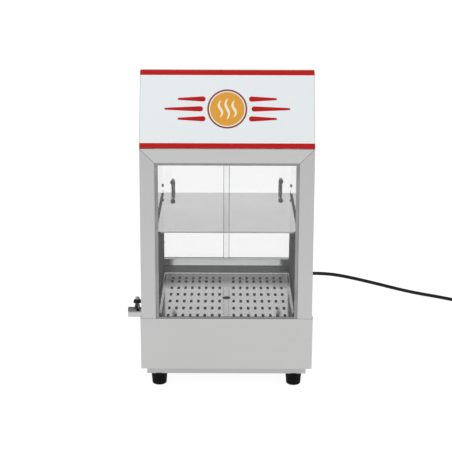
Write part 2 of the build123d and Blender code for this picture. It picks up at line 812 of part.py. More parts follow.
def liner_screws():
    """Button-head screws through the inner walls."""
    screws = []
    for y, z in liner_screw_places():
        head = round_bar((-half_inner, y, z), (1, 0, 0), liner_screw_head, liner_screw_head_height)
        head = fillet(head.edges().group_by(Axis.X)[-1], liner_screw_edge)
        screw = head + round_bar((-half_inner, y, z), (-1, 0, 0), liner_screw, liner_screw_length)
        screws += [screw, mirrored(screw)]
    return group(screws)


def frame_channel(corners):
    """Window frame member: a channel open at the back, its face outline given in the window plane."""
    face = make_face(Polyline(*corners, close=True))
    whole = extrude(face, -stile_depth)
    core = Pos(0, 0, -frame_sheet) * extrude(offset(face, -frame_sheet, kind=Kind.INTERSECTION), -stile_depth)
    return window_plane.location * (whole - core)


def under_deck():
    """What lies below the deck's top under the window, cut from the window's pieces."""
    return block(-half_base, half_base, front_y - stile_depth, front_y + 2 * stile_depth,
                 deck_z - 2 * stile_depth, deck_z)


def left_stile():
    """Upright of the window frame, mitred at the top and cut level on the deck."""
    low = -stile_depth
    inner_top = window_slant - top_rail_height
    member = frame_channel([(-half_cabinet, low), (-half_inner, low), (-half_inner, inner_top),
                            (-half_cabinet, window_slant)])
    return member - under_deck()


def top_rail():
    """Head of the window frame, mitred at both ends."""
    low = window_slant - top_rail_height
    return frame_channel([(-half_inner, low), (half_inner, low), (half_cabinet, window_slant),
                          (-half_cabinet, window_slant)])


def window_outline(side, bottom, top):
    """Rectangle in the window plane between a half width and two heights."""
    return Pos(0, (bottom + top) / 2) * Rectangle(2 * side, top - bottom)


def front_glass():
    """Fixed window glass."""
    side = half_inner - seal_side + seal_cover
    top = window_slant - top_rail_height - seal_top + seal_cover
    face = window_outline(side, seal_bottom - seal_bottom_cover, top)
    pane = extrude(face, -glass_thickness)
    return window_plane.location * Pos(0, 0, -seal_setback - seal_lip) * pane


def glass_seal():
    """Grooved seal between the window glass and the frame."""
    opening_top = window_slant - top_rail_height
    depth = glass_thickness + 2 * seal_lip
    ring = extrude(window_outline(half_inner, 0, opening_top), -depth)
    ring -= extrude(window_outline(half_inner - seal_side, seal_bottom, opening_top - seal_top), -depth)
    groove = window_outline(half_inner - seal_side + seal_cover + seat_gap,
                            seal_bottom - seal_bottom_cover - seat_gap,
                            opening_top - seal_top + seal_cover + seat_gap)
    ring -= Pos(0, 0, -seal_lip + seat_gap) * extrude(groove, -glass_thickness - 2 * seat_gap)
    ring = window_plane.location * Pos(0, 0, -seal_setback) * ring
    return ring - under_deck()


def sign_panel():
    """Flat sign above the window, with rounded upper corners."""
    height = sign_slant - sign_joint - sheet - slide_gap
    middle = Pos(0, sign_joint + height / 2, -sign_thickness / 2)
    panel = middle * Box(2 * half_cabinet, height, sign_thickness)
    panel = fillet(panel.edges().filter_by(Axis.Z).group_by(Axis.Y)[-1], sign_corner)
    return sign_plane.location * panel


def roof_panel():
    """Sloping roof sheet with flanges inside the side panels."""
    roof = Pos(0, roof_slant / 2, -sheet / 2) * Box(2 * half_cabinet, roof_slant, sheet)
    roof = fillet(roof.edges().filter_by(Axis.Z).group_by(Axis.Y)[0], sign_corner)
    x = half_cabinet - sheet - seat_gap
    for side in (-1, 1):
        flange = Box(sheet, roof_slant - 2 * roof_flange_inset, roof_flange)
        roof += Pos(side * (x - sheet / 2), roof_slant / 2, -sheet - roof_flange / 2) * flange
    place = Plane((0, roof_y, roof_z), (1, 0, 0), (0, sin(radians(roof_pitch)), cos(radians(roof_pitch))))
    return place.location * roof


def rear_header():
    """Folded header above the doors; the upper track hangs under its return."""
    x = half_cabinet - sheet
    front = cabinet_rear - header_return
    top = roof_line_z(cabinet_rear, sheet)
    header = block(-x, x, cabinet_rear - sheet, cabinet_rear, header_z, top)
    header += block(-x, x, front, cabinet_rear - sheet, header_z, header_z + sheet)
    return header + block(-x, x, front, front + sheet, header_z + sheet, header_z + sheet + header_lip)


def rear_sill():
    """Folded sill behind the well: riser, polished drip slope and a channel for the lower track."""
    y1 = sill_y + sill_slope_run
    y2 = sill_y + sill_depth
    riser_top = deck_z + sill_riser
    half = half_inner - slide_gap
    upper = [(sill_y, deck_z), (sill_y, riser_top), (y1, sill_top_z), (y1 + 2 * sheet, sill_top_z),
             (y1 + 2 * sheet, track_z), (y2, track_z), (y2, deck_z)]
    under = [(y2 - sheet, deck_z), (y2 - sheet, track_z - sheet), (y1 + sheet, track_z - sheet),
             (y1 + sheet, sill_top_z - sheet), (y1 + sheet / 2, sill_top_z - sheet),
             (sill_y + sheet, riser_top - sheet / 2), (sill_y + sheet, deck_z)]
    return plate(upper + under, -half, half)


def door_track(fin_height):
    """E-section track, web at z = 0 and fins upwards, with a groove for each door."""
    groove = glass_thickness + 2 * groove_play
    first = inner_door_y - groove_play
    second = outer_door_y - groove_play
    half = half_inner - slide_gap
    fins = [(first - track_fin, first), (first + groove, second),
            (second + groove, second + groove + track_fin)]
    track = block(-half, half, fins[0][0], fins[-1][1], 0, track_web)
    for y0, y1 in fins:
        track += block(-half, half, y0, y1, track_web, track_web + fin_height)
    return track


def lower_track():
    return Pos(0, 0, track_z) * door_track(lower_fin_height)


def upper_track():
    return Pos(0, 0, header_z) * mirror(door_track(upper_fin_height), Plane.XY)


# ---- shelf, tray and doors -------------------------------------------------------------------------------
def bun_shelf():
    """Polished lift-out shelf with short hems at the front and back."""
    shelf = block(-half_shelf, half_shelf, shelf_y, shelf_back, ledge_z, shelf_z)
    shelf = fillet(shelf.edges().filter_by(Axis.Z), shelf_corner)
    hem_half = half_inner - ledge - slide_gap
    for y in (shelf_y, shelf_back - shelf_sheet):
        shelf += block(-hem_half, hem_half, y, y + shelf_sheet, shelf_z - shelf_hem, ledge_z)
    return shelf


def tray_slots():
    """Slots of the tray floor, in equal columns either side of the finger hole."""
    floor = tray_floor_z - sheet
    slots = []
    for column in range(1, slot_columns + 1):
        for row in range(slot_rows):
            y = slot_centre_y + (row - (slot_rows - 1) / 2) * row_pitch
            for x in (-column * slot_pitch, column * slot_pitch):
                slots.append(Pos(x, y) * SlotOverall(slot_length, slot_width, 90))
    return extrude(Plane((0, 0, floor)) * Sketch(children=slots), sheet)


def tray_block(inset, low, high):
    """Block of the tray's rounded outline, less an inset all round."""
    half = half_tray - inset
    shape = block(-half, half, tray_y + inset, tray_back - inset, low, high)
    return fillet(shape.edges().filter_by(Axis.Z), tray_corner - inset)


def steam_tray():
    """Rim of the lift-out steaming tray: hemmed walls, low at the front, welded round its floor."""
    floor = tray_floor_z - sheet
    rim = tray_floor_z + tray_wall
    hem_half = half_tray + rim_hem
    hem = block(-hem_half, hem_half, tray_y, tray_back + rim_hem, rim - rim_height, rim)
    hem = fillet(hem.edges().filter_by(Axis.Z), tray_corner)
    front_half = half_tray - tray_corner
    low_front = block(-front_half, front_half, tray_y, tray_y + sheet, tray_floor_z + tray_front_wall, rim)
    return tray_block(0, floor, rim) + hem - tray_block(sheet, floor, rim) - low_front


def tray_floor():
    """Slotted floor of the steaming tray, with a finger hole to lift it by."""
    floor = tray_floor_z - sheet
    plate = tray_block(sheet, floor, tray_floor_z) - tray_slots()
    return plate - round_bar((0, slot_centre_y, floor), (0, 0, 1), finger_hole, sheet)


def door_glass(x0, x1, y, handle_side):
    """Frameless door pane with two fixing holes for its handle."""
    pane = block(x0, x1, y, y + glass_thickness, door_z, door_top)
    for z in handle_fixings():
        pane -= round_bar((handle_side * handle_x, y, z), (0, 1, 0), handle_screw + 1, glass_thickness)
    return pane


def handle_fixings():
    return handle_z, handle_z - handle_centres


def left_door_glass():
    return door_glass(-half_inner + door_stop_gap, inner_door_edge, inner_door_y, -1)


def right_door_glass():
    return door_glass(outer_door_edge, half_inner - door_stop_gap, outer_door_y, 1)


def door_handle(side, door_y):
    """Bow handle on a door's outer face, bored for its two screws."""
    x = side * handle_x
    face = door_y + glass_thickness
    high, low = handle_fixings()
    reach = face + handle_reach
    path = FilletPolyline((x, face, high), (x, reach, high), (x, reach, low), (x, face, low),
                          radius=handle_bend)
    bar = sweep(Plane((x, face, high), z_dir=(0, 1, 0)) * Circle(handle_bar / 2), path)
    for z in (high, low):
        bar -= round_bar((x, face, z), (0, 1, 0), handle_screw + 2 * seat_gap, screw_bite)
    return bar


def handle_screws(side, door_y):
    """Domed screws from inside the cabinet into a handle."""
    screws = []
    x = side * handle_x
    shank_length = glass_thickness + screw_bite - slide_gap
    for z in handle_fixings():
        cap = round_bar((x, door_y - screw_cap_height, z), (0, 1, 0), screw_cap, screw_cap_height)
        cap = fillet(cap.edges().group_by(Axis.Y)[0], screw_cap_edge)
        screws.append(cap + round_bar((x, door_y, z), (0, 1, 0), handle_screw, shank_length))
    return group(screws)


# ---- controls and electrics ------------------------------------------------------------------------------
def thermostat_body():
    """Capillary thermostat behind the rear panel, with its threaded bush and three tabs."""
    half = thermostat_size / 2
    z = casing_z + knob_z
    inner = rear_y - sheet
    back = inner - thermostat_depth
    body = block(knob_x - half, knob_x + half, back, inner, z - half, z + half)
    body = chamfer(body.edges().filter_by(Axis.Y), thermostat_edge)
    body += round_bar((knob_x, inner, z), (0, 1, 0), bush_diameter, bush_length)
    bottom = z - terminal_drop
    for n in (-1, 0, 1):
        x = knob_x + n * terminal_pitch
        body += block(x - terminal_width / 2, x + terminal_width / 2, back - terminal_length, back,
                      bottom, bottom + terminal_thickness)
    bore = spindle_diameter + 2 * seat_gap
    bore_length = spindle_socket + bush_length
    return body - round_bar((knob_x, inner - spindle_socket, z), (0, 1, 0), bore, bore_length)


def thermostat_spindle():
    """Thermostat's spindle, flattened where the knob grips it."""
    z = casing_z + knob_z
    start = rear_y - sheet - spindle_socket + slide_gap
    end = rear_y + knob_gap + knob_height - knob_crown
    spindle = round_bar((knob_x, start, z), (0, 1, 0), spindle_diameter, end - start)
    flat_y = rear_y + knob_gap + knob_recess
    half = spindle_diameter
    return spindle - block(knob_x - half, knob_x + half, flat_y, end, z + spindle_flat, z + half)


def knob_outside():
    """Outer shape of the control knob: skirt, fluted grip and pointer rib."""
    z = casing_z + knob_z
    base_y = rear_y + knob_gap
    grip_y = base_y + knob_skirt
    skirt = round_bar((knob_x, base_y, z), (0, 1, 0), knob_diameter, knob_skirt)
    skirt = fillet(skirt.edges().group_by(Axis.Y)[-1], knob_skirt_edge)
    grip = round_bar((knob_x, grip_y, z), (0, 1, 0), knob_grip, knob_height - knob_skirt)
    knob = skirt + fillet(grip.edges().group_by(Axis.Y)[-1], knob_grip_edge)
    for n in range(1, knob_flutes):
        angle = radians(90 + n * 360 / knob_flutes)
        flute = (knob_x + flute_radius * cos(angle), grip_y, z + flute_radius * sin(angle))
        knob -= round_bar(flute, (0, 1, 0), flute_width, knob_height)
    half = pointer_width / 2
    tip_z = z + knob_diameter / 2 - pointer_inset
    return knob + block(knob_x - half, knob_x + half, grip_y - sheet, base_y + knob_height, z, tip_z)


def thermostat_knob():
    """Control knob, hollow behind and bored for the flattened spindle."""
    z = casing_z + knob_z
    base_y = rear_y + knob_gap
    depth = knob_height - knob_crown + seat_gap
    bore = spindle_diameter + 2 * seat_gap
    hole = round_bar((knob_x, base_y, z), (0, 1, 0), bore, depth)
    flat_z = z + spindle_flat + seat_gap
    flat = block(knob_x - bore, knob_x + bore, base_y + knob_recess, base_y + knob_height, flat_z, z + bore)
    recess = round_bar((knob_x, base_y, z), (0, 1, 0), knob_recess_width, knob_recess)
    return knob_outside() - recess - (hole - flat)


def thermostat_sensor():
    """Sensing bulb under the pan and the capillary from the thermostat, one sealed tube."""
    x = knob_x + capillary_side
    z = casing_z + knob_z + capillary_side
    back = rear_y - sheet - thermostat_depth
    down = back - capillary_run
    bulb_z = pan_floor_z - sheet - bulb_drop
    start, end = (x, back, z), (x, well_back - bulb_behind, bulb_z)
    path = FilletPolyline(start, (x, down, z), (x, down, bulb_z), end, radius=capillary_bend)
    tube = sweep(Plane(start, z_dir=(0, -1, 0)) * Circle(capillary_diameter / 2), path)
    bulb = round_bar(end, (0, -1, 0), bulb_diameter, bulb_length)
    return tube + fillet(bulb.edges(), bulb_edge)


def overheat_cutout():
    """Bimetal cut-out under the pan floor, with its mounting ears and two tabs."""
    top = pan_floor_z - sheet
    x, y = cutout_x, well_back - cutout_behind
    low = top - cutout_height
    ear, ear_y = cutout_ear_width / 2, cutout_ear_depth / 2
    body = round_bar((x, y, top), (0, 0, -1), cutout_diameter, cutout_height)
    body += block(x - ear, x + ear, y - ear_y, y + ear_y, top - cutout_ear_thickness, top)
    half, thin = cutout_tab_width / 2, cutout_tab_thickness / 2
    for tab_x in (x - cutout_tab_spacing / 2, x + cutout_tab_spacing / 2):
        body += block(tab_x - half, tab_x + half, y - thin, y + thin, low - cutout_tab_length, low)
    return body


def terminal_block():
    """Three-way terminal block on the bottom cover."""
    z = cover_z + sheet
    y = rear_y - block_inset
    half, foot_half, body_half = block_length / 2, block_depth / 2, block_body_depth / 2
    body = block(-half, half, y - foot_half, y + foot_half, z, z + block_foot)
    body += block(-half, half, y - body_half, y + body_half, z + block_foot, z + block_height)
    wire_z = z + block_wire_height
    for x in (-block_pitch, 0, block_pitch):
        body -= round_bar((x, y, z + block_height), (0, 0, -1), block_screw_hole, block_screw_depth)
        body -= round_bar((x, y - body_half, wire_z), (0, 1, 0), block_wire_hole, block_body_depth)
    return body


def switch_housing():
    """Snap-in rocker switch body with its bezel and three tabs."""
    z = casing_z + switch_z
    back = rear_y - sheet - switch_depth
    face = rear_y + switch_bezel
    w, h = switch_width / 2, switch_height / 2
    bezel = block(switch_x - w, switch_x + w, rear_y, face, z - h, z + h)
    bezel = fillet(bezel.edges().filter_by(Axis.Y), switch_corner)
    rim = switch_bezel / 2
    body = block(switch_x - w + rim, switch_x + w - rim, back, rear_y, z - h + rim, z + h - rim)
    w, h = w - switch_bezel, h - switch_bezel
    housing = bezel + body - block(switch_x - w, switch_x + w, rear_y - switch_well, face, z - h, z + h)
    half, thin = switch_tab_width / 2, switch_tab_thickness / 2
    for tab_z in (z - switch_tab_pitch, z, z + switch_tab_pitch):
        housing += block(switch_x - half, switch_x + half, back - switch_tab_length, back,
                         tab_z - thin, tab_z + thin)
    socket = w + rocker_pin_reach + seat_gap
    pivot = (switch_x - socket, rear_y - rocker_pivot, z)
    return housing - round_bar(pivot, (1, 0, 0), rocker_pin + 2 * seat_gap, 2 * socket)


def switch_rocker():
    """Rocker, tilted to its off side about its pivot in the housing."""
    half_w = switch_width / 2 - switch_bezel - slide_gap
    tilt = radians(rocker_tilt)
    half_h = (switch_height / 2 - switch_bezel - slide_gap - rocker_rise * sin(tilt)) / cos(tilt)
    root_h = half_h - rocker_root / 3
    outline = [(-half_h, 0), (-root_h, -rocker_root), (root_h, -rocker_root), (half_h, 0),
               (half_h, rocker_rise), (0, rocker_rise - rocker_waist), (-half_h, rocker_rise)]
    face = Plane((0, 0, 0), (0, 0, 1), (1, 0, 0)) * make_face(Polyline(*outline, close=True))
    rocker = Pos(-half_w, 0, 0) * mirror(extrude(face, 2 * half_w), Plane.XZ)
    pin_end = switch_width / 2 - switch_bezel + rocker_pin_reach
    rocker += round_bar((-pin_end, 0, 0), (1, 0, 0), rocker_pin, 2 * pin_end)
    return Pos(switch_x, rear_y - rocker_pivot, casing_z + switch_z) * Rot(rocker_tilt, 0, 0) * rocker


def indicator_lamps():
    """Two neon lamps: barrel through the panel, bezel and domed lens."""
    lamps = []
    z = casing_z + lamp_z
    for x in (lamp_x, lamp_x + lamp_spacing):
        lamp = round_bar((x, rear_y, z), (0, -1, 0), lamp_barrel, lamp_depth)
        bezel = round_bar((x, rear_y, z), (0, 1, 0), lamp_bezel, lamp_bezel_height)
        lamp += fillet(bezel.edges().group_by(Axis.Y)[-1], lamp_bezel_edge)
        lens = round_bar((x, rear_y + lamp_bezel_height, z), (0, 1, 0), lamp_lens, lamp_lens_height)
        lamps.append(lamp + fillet(lens.edges().group_by(Axis.Y)[-1], lamp_lens_edge))
    return group(lamps)


def gland_sleeve_piece():
    """Tapered sleeve of the strain relief, with grooves that let it bend."""
    z = casing_z + gland_z
    start_y = rear_y + gland_flange_height
    length = gland_length - gland_flange_height
    big, small = gland_sleeve / 2, cord_diameter / 2 + gland_wall
    taper = (big - small) / length
    base = Plane((gland_x, start_y, z), z_dir=(0, 1, 0)) * Circle(big)
    sleeve = extrude(base, length, taper=degrees(atan2(taper, 1)))
    for n in range(gland_rings):
        y = rear_y + gland_ring_start + n * gland_ring_pitch
        outside = 2 * (big - taper * (y - start_y))
        core = round_bar((gland_x, y, z), (0, 1, 0), outside - 2 * gland_ring_depth, gland_ring_width)
        sleeve -= round_bar((gland_x, y, z), (0, 1, 0), outside + gland_ring_width, gland_ring_width) - core
    return sleeve


def cord_gland():
    """Moulded strain relief: barrel through the panel, flange and sleeve, with its inner nut."""
    z = casing_z + gland_z
    inner = rear_y - sheet
    gland = round_bar((gland_x, rear_y, z), (0, -1, 0), gland_barrel, sheet + gland_inner)
    flange = round_bar((gland_x, rear_y, z), (0, 1, 0), gland_flange, gland_flange_height)
    gland += fillet(flange.edges().group_by(Axis.Y)[-1], gland_flange_edge)
    gland += gland_sleeve_piece()
    nut = hex_nut((gland_x, inner, z), (0, -1, 0), gland_nut, gland_nut_height, gland_barrel + 2 * seat_gap)
    return group([gland, nut])


# ---- power cord ------------------------------------------------------------------------------------------
def cord_route():
    """Points of the cord from the strain relief, down to the ground and along it to the coil."""
    z = casing_z + gland_z
    rest = cord_diameter / 2
    start = (gland_x, rear_y + gland_length, z)
    return [start, (gland_x, 251, z), (158, 276, 87.2), (179, 294, 83), (212, 309, 77.5), (245, 322, 72),
            (279, 333, 64), (327, 345, 49.5), (377, 353, 34.5), (427, 357, 20), (475, 356, 9.3),
            (522, 347, rest), (560, 324, rest), (599, 302.5, rest), coil_entry()]


def coil_entry():
    """Where the cord runs into the coil, at a tangent to its outer turn."""
    angle = radians(58.0)
    radius = coil_radius + cord_diameter / 2
    return coil_x + radius * cos(angle), coil_y + radius * sin(angle), cord_diameter / 2


def corner_radii(points):
    """The largest even bend at each corner: 0.45 of its shorter run over the tangent of half its turn."""
    radii = []
    for a, b, c in zip(points, points[1:], points[2:]):
        before, after = Vector(*b) - Vector(*a), Vector(*c) - Vector(*b)
        turn = before.get_angle(after)
        radii.append(0.45 * min(before.length, after.length) / tan(radians(turn / 2)))
    return radii


def power_cord():
    """Cord from the strain relief to the coil, and the short lead from the coil to the plug."""
    points = cord_route()
    radii = corner_radii(points)
    print("cord bend radii", [round(radius) for radius in radii])
    path = FilletPolyline(*points, radius=radii)
    start = Plane(points[0], z_dir=Vector(*points[1]) - Vector(*points[0]))
    tube = sweep(start * Circle(cord_diameter / 2), path)
    section = pi * (cord_diameter / 2) ** 2
    print("cord length", round(path.length), "volume", round(tube.volume), "section times length",
          round(section * path.length))
    lead = round_bar((plug_x, coil_y, plug_z), (0, -1, 0), cord_diameter, coil_y - plug_y)
    turns = Pos(coil_x, coil_y, 0) * extrude(Circle(coil_radius + coil_width / 2), coil_width)
    return group([tube - turns, lead - turns])


def cord_coil():
    """The stored turns as one ring."""
    section = Pos(coil_radius, coil_width / 2) * RectangleRounded(coil_width, coil_width, coil_corner)
    return Pos(coil_x, coil_y, 0) * revolve(Plane.XZ * section, Axis.Z)


def plug():
    """Moulded plug with two flat blades and an earth pin, lying beside the coil."""
    sleeve = Plane((0, 0, 0), z_dir=(0, -1, 0)) * Circle(cord_diameter / 2 + plug_sleeve_wall)
    grip = extrude(sleeve, plug_sleeve, taper=-plug_sleeve_taper)
    body = Pos(0, -plug_sleeve - plug_depth / 2, 0) * Box(plug_width, plug_depth, 2 * plug_z)
    body = fillet(body.edges().filter_by(Axis.Y), plug_side_edge)
    body = fillet(body.edges().group_by(Axis.Y)[-1], plug_back_edge)
    face = -plug_sleeve - plug_depth
    low, high = blade_rise - blade_width / 2, blade_rise + blade_width / 2
    shape = grip + body + round_bar((0, face, -earth_drop), (0, -1, 0), earth_diameter, earth_length)
    for x in (-blade_spacing / 2, blade_spacing / 2):
        shape += block(x - blade_thickness / 2, x + blade_thickness / 2, face - blade_length, face, low, high)
    return Pos(plug_x, plug_y, plug_z) * shape


# ---- writing ---------------------------------------------------------------------------------------------
def model():
    """Every node by name."""
    side_panel, stile = left_side_panel(), left_stile()
    lower, upper = lower_liner(), upper_liner()
    return {
        "base_casing": base_casing(), "base_deck": base_deck(), "rear_panel": rear_panel(),
        "panel_screws": panel_screws(), "bottom_cover": bottom_cover(), "feet": feet(),
        "foot_fasteners": foot_fasteners(), "water_pan": water_pan(), "tray_rails": tray_rails(),
        "heating_element": heating_element(), "pan_locknuts": pan_locknuts(), "drain_nipple": drain_nipple(),
        "valve_body": valve_body(), "valve_seats": valve_seats(), "valve_ball": valve_ball(),
        "valve_stem": valve_stem(), "valve_lever": valve_lever(), "lever_nut": lever_nut(),
        "left_side_panel": side_panel, "right_side_panel": mirrored(side_panel),
        "left_lower_liner": lower, "right_lower_liner": mirrored(lower),
        "left_upper_liner": upper, "right_upper_liner": mirrored(upper), "liner_screws": liner_screws(),
        "left_stile": stile, "right_stile": mirrored(stile), "top_rail": top_rail(),
        "front_glass": front_glass(), "glass_seal": glass_seal(), "sign_panel": sign_panel(),
        "roof_panel": roof_panel(), "rear_header": rear_header(), "rear_sill": rear_sill(),
        "lower_track": lower_track(), "upper_track": upper_track(),
        "bun_shelf": bun_shelf(), "steam_tray": steam_tray(), "tray_floor": tray_floor(),
        "left_door_glass": left_door_glass(), "right_door_glass": right_door_glass(),
        "left_door_handle": door_handle(-1, inner_door_y), "right_door_handle": door_handle(1, outer_door_y),
        "left_handle_screws": handle_screws(-1, inner_door_y),
        "right_handle_screws": handle_screws(1, outer_door_y),
        "thermostat_body": thermostat_body(), "thermostat_spindle": thermostat_spindle(),
        "thermostat_knob": thermostat_knob(), "thermostat_sensor": thermostat_sensor(),
        "overheat_cutout": overheat_cutout(), "terminal_block": terminal_block(),
        "switch_housing": switch_housing(), "switch_rocker": switch_rocker(),
        "indicator_lamps": indicator_lamps(), "cord_gland": cord_gland(),
        "power_cord": power_cord(), "cord_coil": cord_coil(), "plug": plug(),
    }


os.makedirs("parts", exist_ok=True)
for name, shape in model().items():
    pieces = [origin * solid for solid in shape.solids()]
    export_step(pieces[0] if len(pieces) == 1 else Compound(pieces), f"parts/{name}.step")
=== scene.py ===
import math

import bmesh
import bpy
from mathutils import Matrix, Vector


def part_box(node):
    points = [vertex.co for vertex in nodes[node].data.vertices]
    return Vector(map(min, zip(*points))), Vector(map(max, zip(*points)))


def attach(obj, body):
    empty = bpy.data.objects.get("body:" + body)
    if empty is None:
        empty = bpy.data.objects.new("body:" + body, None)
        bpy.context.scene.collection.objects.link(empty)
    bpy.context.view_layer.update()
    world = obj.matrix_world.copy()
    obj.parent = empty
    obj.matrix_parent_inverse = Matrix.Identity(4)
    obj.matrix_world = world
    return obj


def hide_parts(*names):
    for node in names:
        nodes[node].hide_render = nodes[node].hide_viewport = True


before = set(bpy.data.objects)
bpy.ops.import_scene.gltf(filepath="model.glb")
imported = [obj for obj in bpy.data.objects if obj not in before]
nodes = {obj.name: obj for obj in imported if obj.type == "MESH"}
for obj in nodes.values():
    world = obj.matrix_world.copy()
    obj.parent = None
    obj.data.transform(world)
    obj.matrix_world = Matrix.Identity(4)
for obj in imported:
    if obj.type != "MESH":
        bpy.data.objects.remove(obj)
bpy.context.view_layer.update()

MM = 0.001
SHIFT_X, SHIFT_Y = 20.0, -9.5      # the cabinet's middle plane and depth, in the frame's millimetres


def at(x, y, z):
    """A point given in millimetres about the cabinet's middle plane, in the frame's metres."""
    return Vector(((x + SHIFT_X) * MM, (y + SHIFT_Y) * MM, z * MM))


def from_frame(point):
    """A point of the frame, in millimetres about the cabinet's middle plane."""
    return Vector((point[0] / MM - SHIFT_X, point[1] / MM - SHIFT_Y, point[2] / MM))


# ---- camera ----------------------------------------------------------------------------------------------
CAMERA_LENS = 93.3
CAMERA_PLACE = (-1.8, -2398.0, 1036.0)
CAMERA_PITCH, CAMERA_ROLL = 17.2, 0.18
camera_data = bpy.data.cameras.new("camera")
camera_data.lens = CAMERA_LENS
camera_data.sensor_width = 36.0
camera_data.clip_end = 50.0
camera = bpy.data.objects.new("camera", camera_data)
bpy.context.scene.collection.objects.link(camera)
camera.matrix_world = (Matrix.Translation(at(*CAMERA_PLACE))
                       @ Matrix.Rotation(math.radians(90.0 - CAMERA_PITCH), 4, "X")
                       @ Matrix.Rotation(math.radians(CAMERA_ROLL), 4, "Z"))
bpy.context.scene.camera = camera


FLOOR_SATIN_LIGHTER_REAR = (-4.0, 14.0)          # depths in the frame between which the tray floor's polish turns satin and its colour is painted lighter, painted light against the shade at the back
FLOOR_TOP = 147.0
SLOT_COLUMNS, SLOT_ROWS, SLOT_PITCH, ROW_PITCH, SLOT_MIDDLE = 8, 6, 15.0, 40.8, -45.0
SLOT_LENGTH, SLOT_WIDTH, SLOT_SHADE_WIDTH = 15.5, 4.8, 0.55


# ---- materials -------------------------------------------------------------------------------------------
class Shader:
    """A material with one Principled shader, and short ways to add nodes to it."""

    def __init__(self, name, color, roughness, metallic=0.0, **sockets):
        self.material = bpy.data.materials.new(name)
        self.material.use_nodes = True
        self.tree = self.material.node_tree
        self.main = self.tree.nodes["Principled BSDF"]
        self.output = self.tree.nodes["Material Output"]
        self.main.inputs["Base Color"].default_value = (*color, 1.0)
        self.main.inputs["Roughness"].default_value = roughness
        self.main.inputs["Metallic"].default_value = metallic
        for socket, value in sockets.items():
            self.main.inputs[socket.replace("_", " ")].default_value = value
        self.place = self.add("ShaderNodeTexCoord").outputs["Object"]

    def add(self, kind, **values):
        node = self.tree.nodes.new(kind)
        for name, value in values.items():
            if hasattr(node, name):
                setattr(node, name, value)
            else:
                node.inputs[name.replace("_", " ")].default_value = value
        return node

    def link(self, start, end):
        self.tree.links.new(start, end)

    def stretched(self, scale):
        """Object coordinates, stretched per axis."""
        node = self.add("ShaderNodeMapping")
        node.inputs["Scale"].default_value = scale
        self.link(self.place, node.inputs["Vector"])
        return node.outputs["Vector"]

    def noise(self, scale, detail=3.0, vector=None, roughness=0.5):
        """A noise factor, in turns a metre."""
        node = self.add("ShaderNodeTexNoise", Scale=scale, Detail=detail, Roughness=roughness)
        self.link(vector or self.place, node.inputs["Vector"])
        return node.outputs["Fac"]

    def math(self, operation, first, second):
        """One step of arithmetic on two factors, or on a factor and a number."""
        node = self.add("ShaderNodeMath", operation=operation)
        for socket, value in zip(node.inputs, (first, second)):
            if isinstance(value, (int, float)):
                socket.default_value = value
            else:
                self.link(value, socket)
        return node.outputs[0]

    def between(self, factor, low, high, start=0.0, end=1.0):
        """A factor mapped to a range."""
        node = self.add("ShaderNodeMapRange")
        node.inputs["From Min"].default_value = start
        node.inputs["From Max"].default_value = end
        node.inputs["To Min"].default_value = low
        node.inputs["To Max"].default_value = high
        self.link(factor, node.inputs["Value"])
        return node.outputs["Result"]

    def colors(self, factor, low, high, start=0.0, end=1.0):
        """A ramp between two colours."""
        node = self.add("ShaderNodeValToRGB")
        ramp = node.color_ramp
        ramp.elements[0].position, ramp.elements[1].position = start, end
        ramp.elements[0].color, ramp.elements[1].color = (*low, 1.0), (*high, 1.0)
        self.link(factor, node.inputs["Fac"])
        return node.outputs["Color"]

    def mixed(self, factor, first, second):
        """Two colours, plain or linked, mixed by a factor."""
        node = self.add("ShaderNodeMix", data_type="RGBA")
        self.link(factor, node.inputs["Factor"])
        for socket, value in ((node.inputs[6], first), (node.inputs[7], second)):
            if isinstance(value, tuple):
                socket.default_value = (*value, 1.0)
            else:
                self.link(value, socket)
        return node.outputs[2]

    def along(self, vector, axis):
        """A vector's share along an object axis."""
        parts = self.add("ShaderNodeSeparateXYZ")
        self.link(vector, parts.inputs[0])
        return parts.outputs[axis]

    def facing(self, axis, limit, sign=0):
        """1 where the surface faces along an object axis; either way along it when sign is 0."""
        share = self.along(self.place.node.outputs["Normal"], axis)
        share = self.math("ABSOLUTE", share, 0.0) if sign == 0 else self.math("MULTIPLY", share, float(sign))
        return self.math("GREATER_THAN", share, limit)

    def beyond(self, axis, start, end=None):
        """Rises from 0 to 1 between two places on an object axis, in the frame's millimetres."""
        end = start + 0.01 if end is None else end
        return self.between(self.along(self.place, axis), 0.0, 1.0, start * MM, end * MM)

    def tilted(self, axis, start, end):
        """Rises from 0 to 1 as the surface turns towards an object axis."""
        return self.between(self.along(self.place.node.outputs["Normal"], axis), 0.0, 1.0, start, end)

    def recolored(self, factor, color):
        """Another base colour where a factor is 1."""
        socket = self.main.inputs["Base Color"]
        self.color(self.mixed(factor, socket.links[0].from_socket, color))

    def color(self, socket):
        self.link(socket, self.main.inputs["Base Color"])

    def rough(self, socket):
        self.link(socket, self.main.inputs["Roughness"])

    def bump(self, factor, depth, strength=1.0):
        node = self.add("ShaderNodeBump", Strength=strength, Distance=depth)
        self.link(factor, node.inputs["Height"])
        self.link(node.outputs["Normal"], self.main.inputs["Normal"])


def shade(value, ratio):
    return tuple(v * ratio for v in value)


def brushed(name, color, roughness, stretch, grain=0.05, depth=0.00002, **sockets):
    """Brushed sheet: long fine lines and faint clouding."""
    made = Shader(name, color, roughness, metallic=1.0, **sockets)
    lines = made.noise(1.0, detail=4.0, vector=made.stretched(stretch), roughness=0.6)
    clouds = made.between(made.noise(9.0, detail=3.0), 0.0, 0.3)
    both = made.math("ADD", made.math("MULTIPLY", lines, 0.7), clouds)
    made.color(made.colors(both, shade(color, 1 - grain), shade(color, 1 + grain), 0.3, 0.7))
    made.rough(made.between(both, roughness - 0.04, roughness + 0.05, 0.3, 0.7))
    made.bump(lines, depth)
    return made


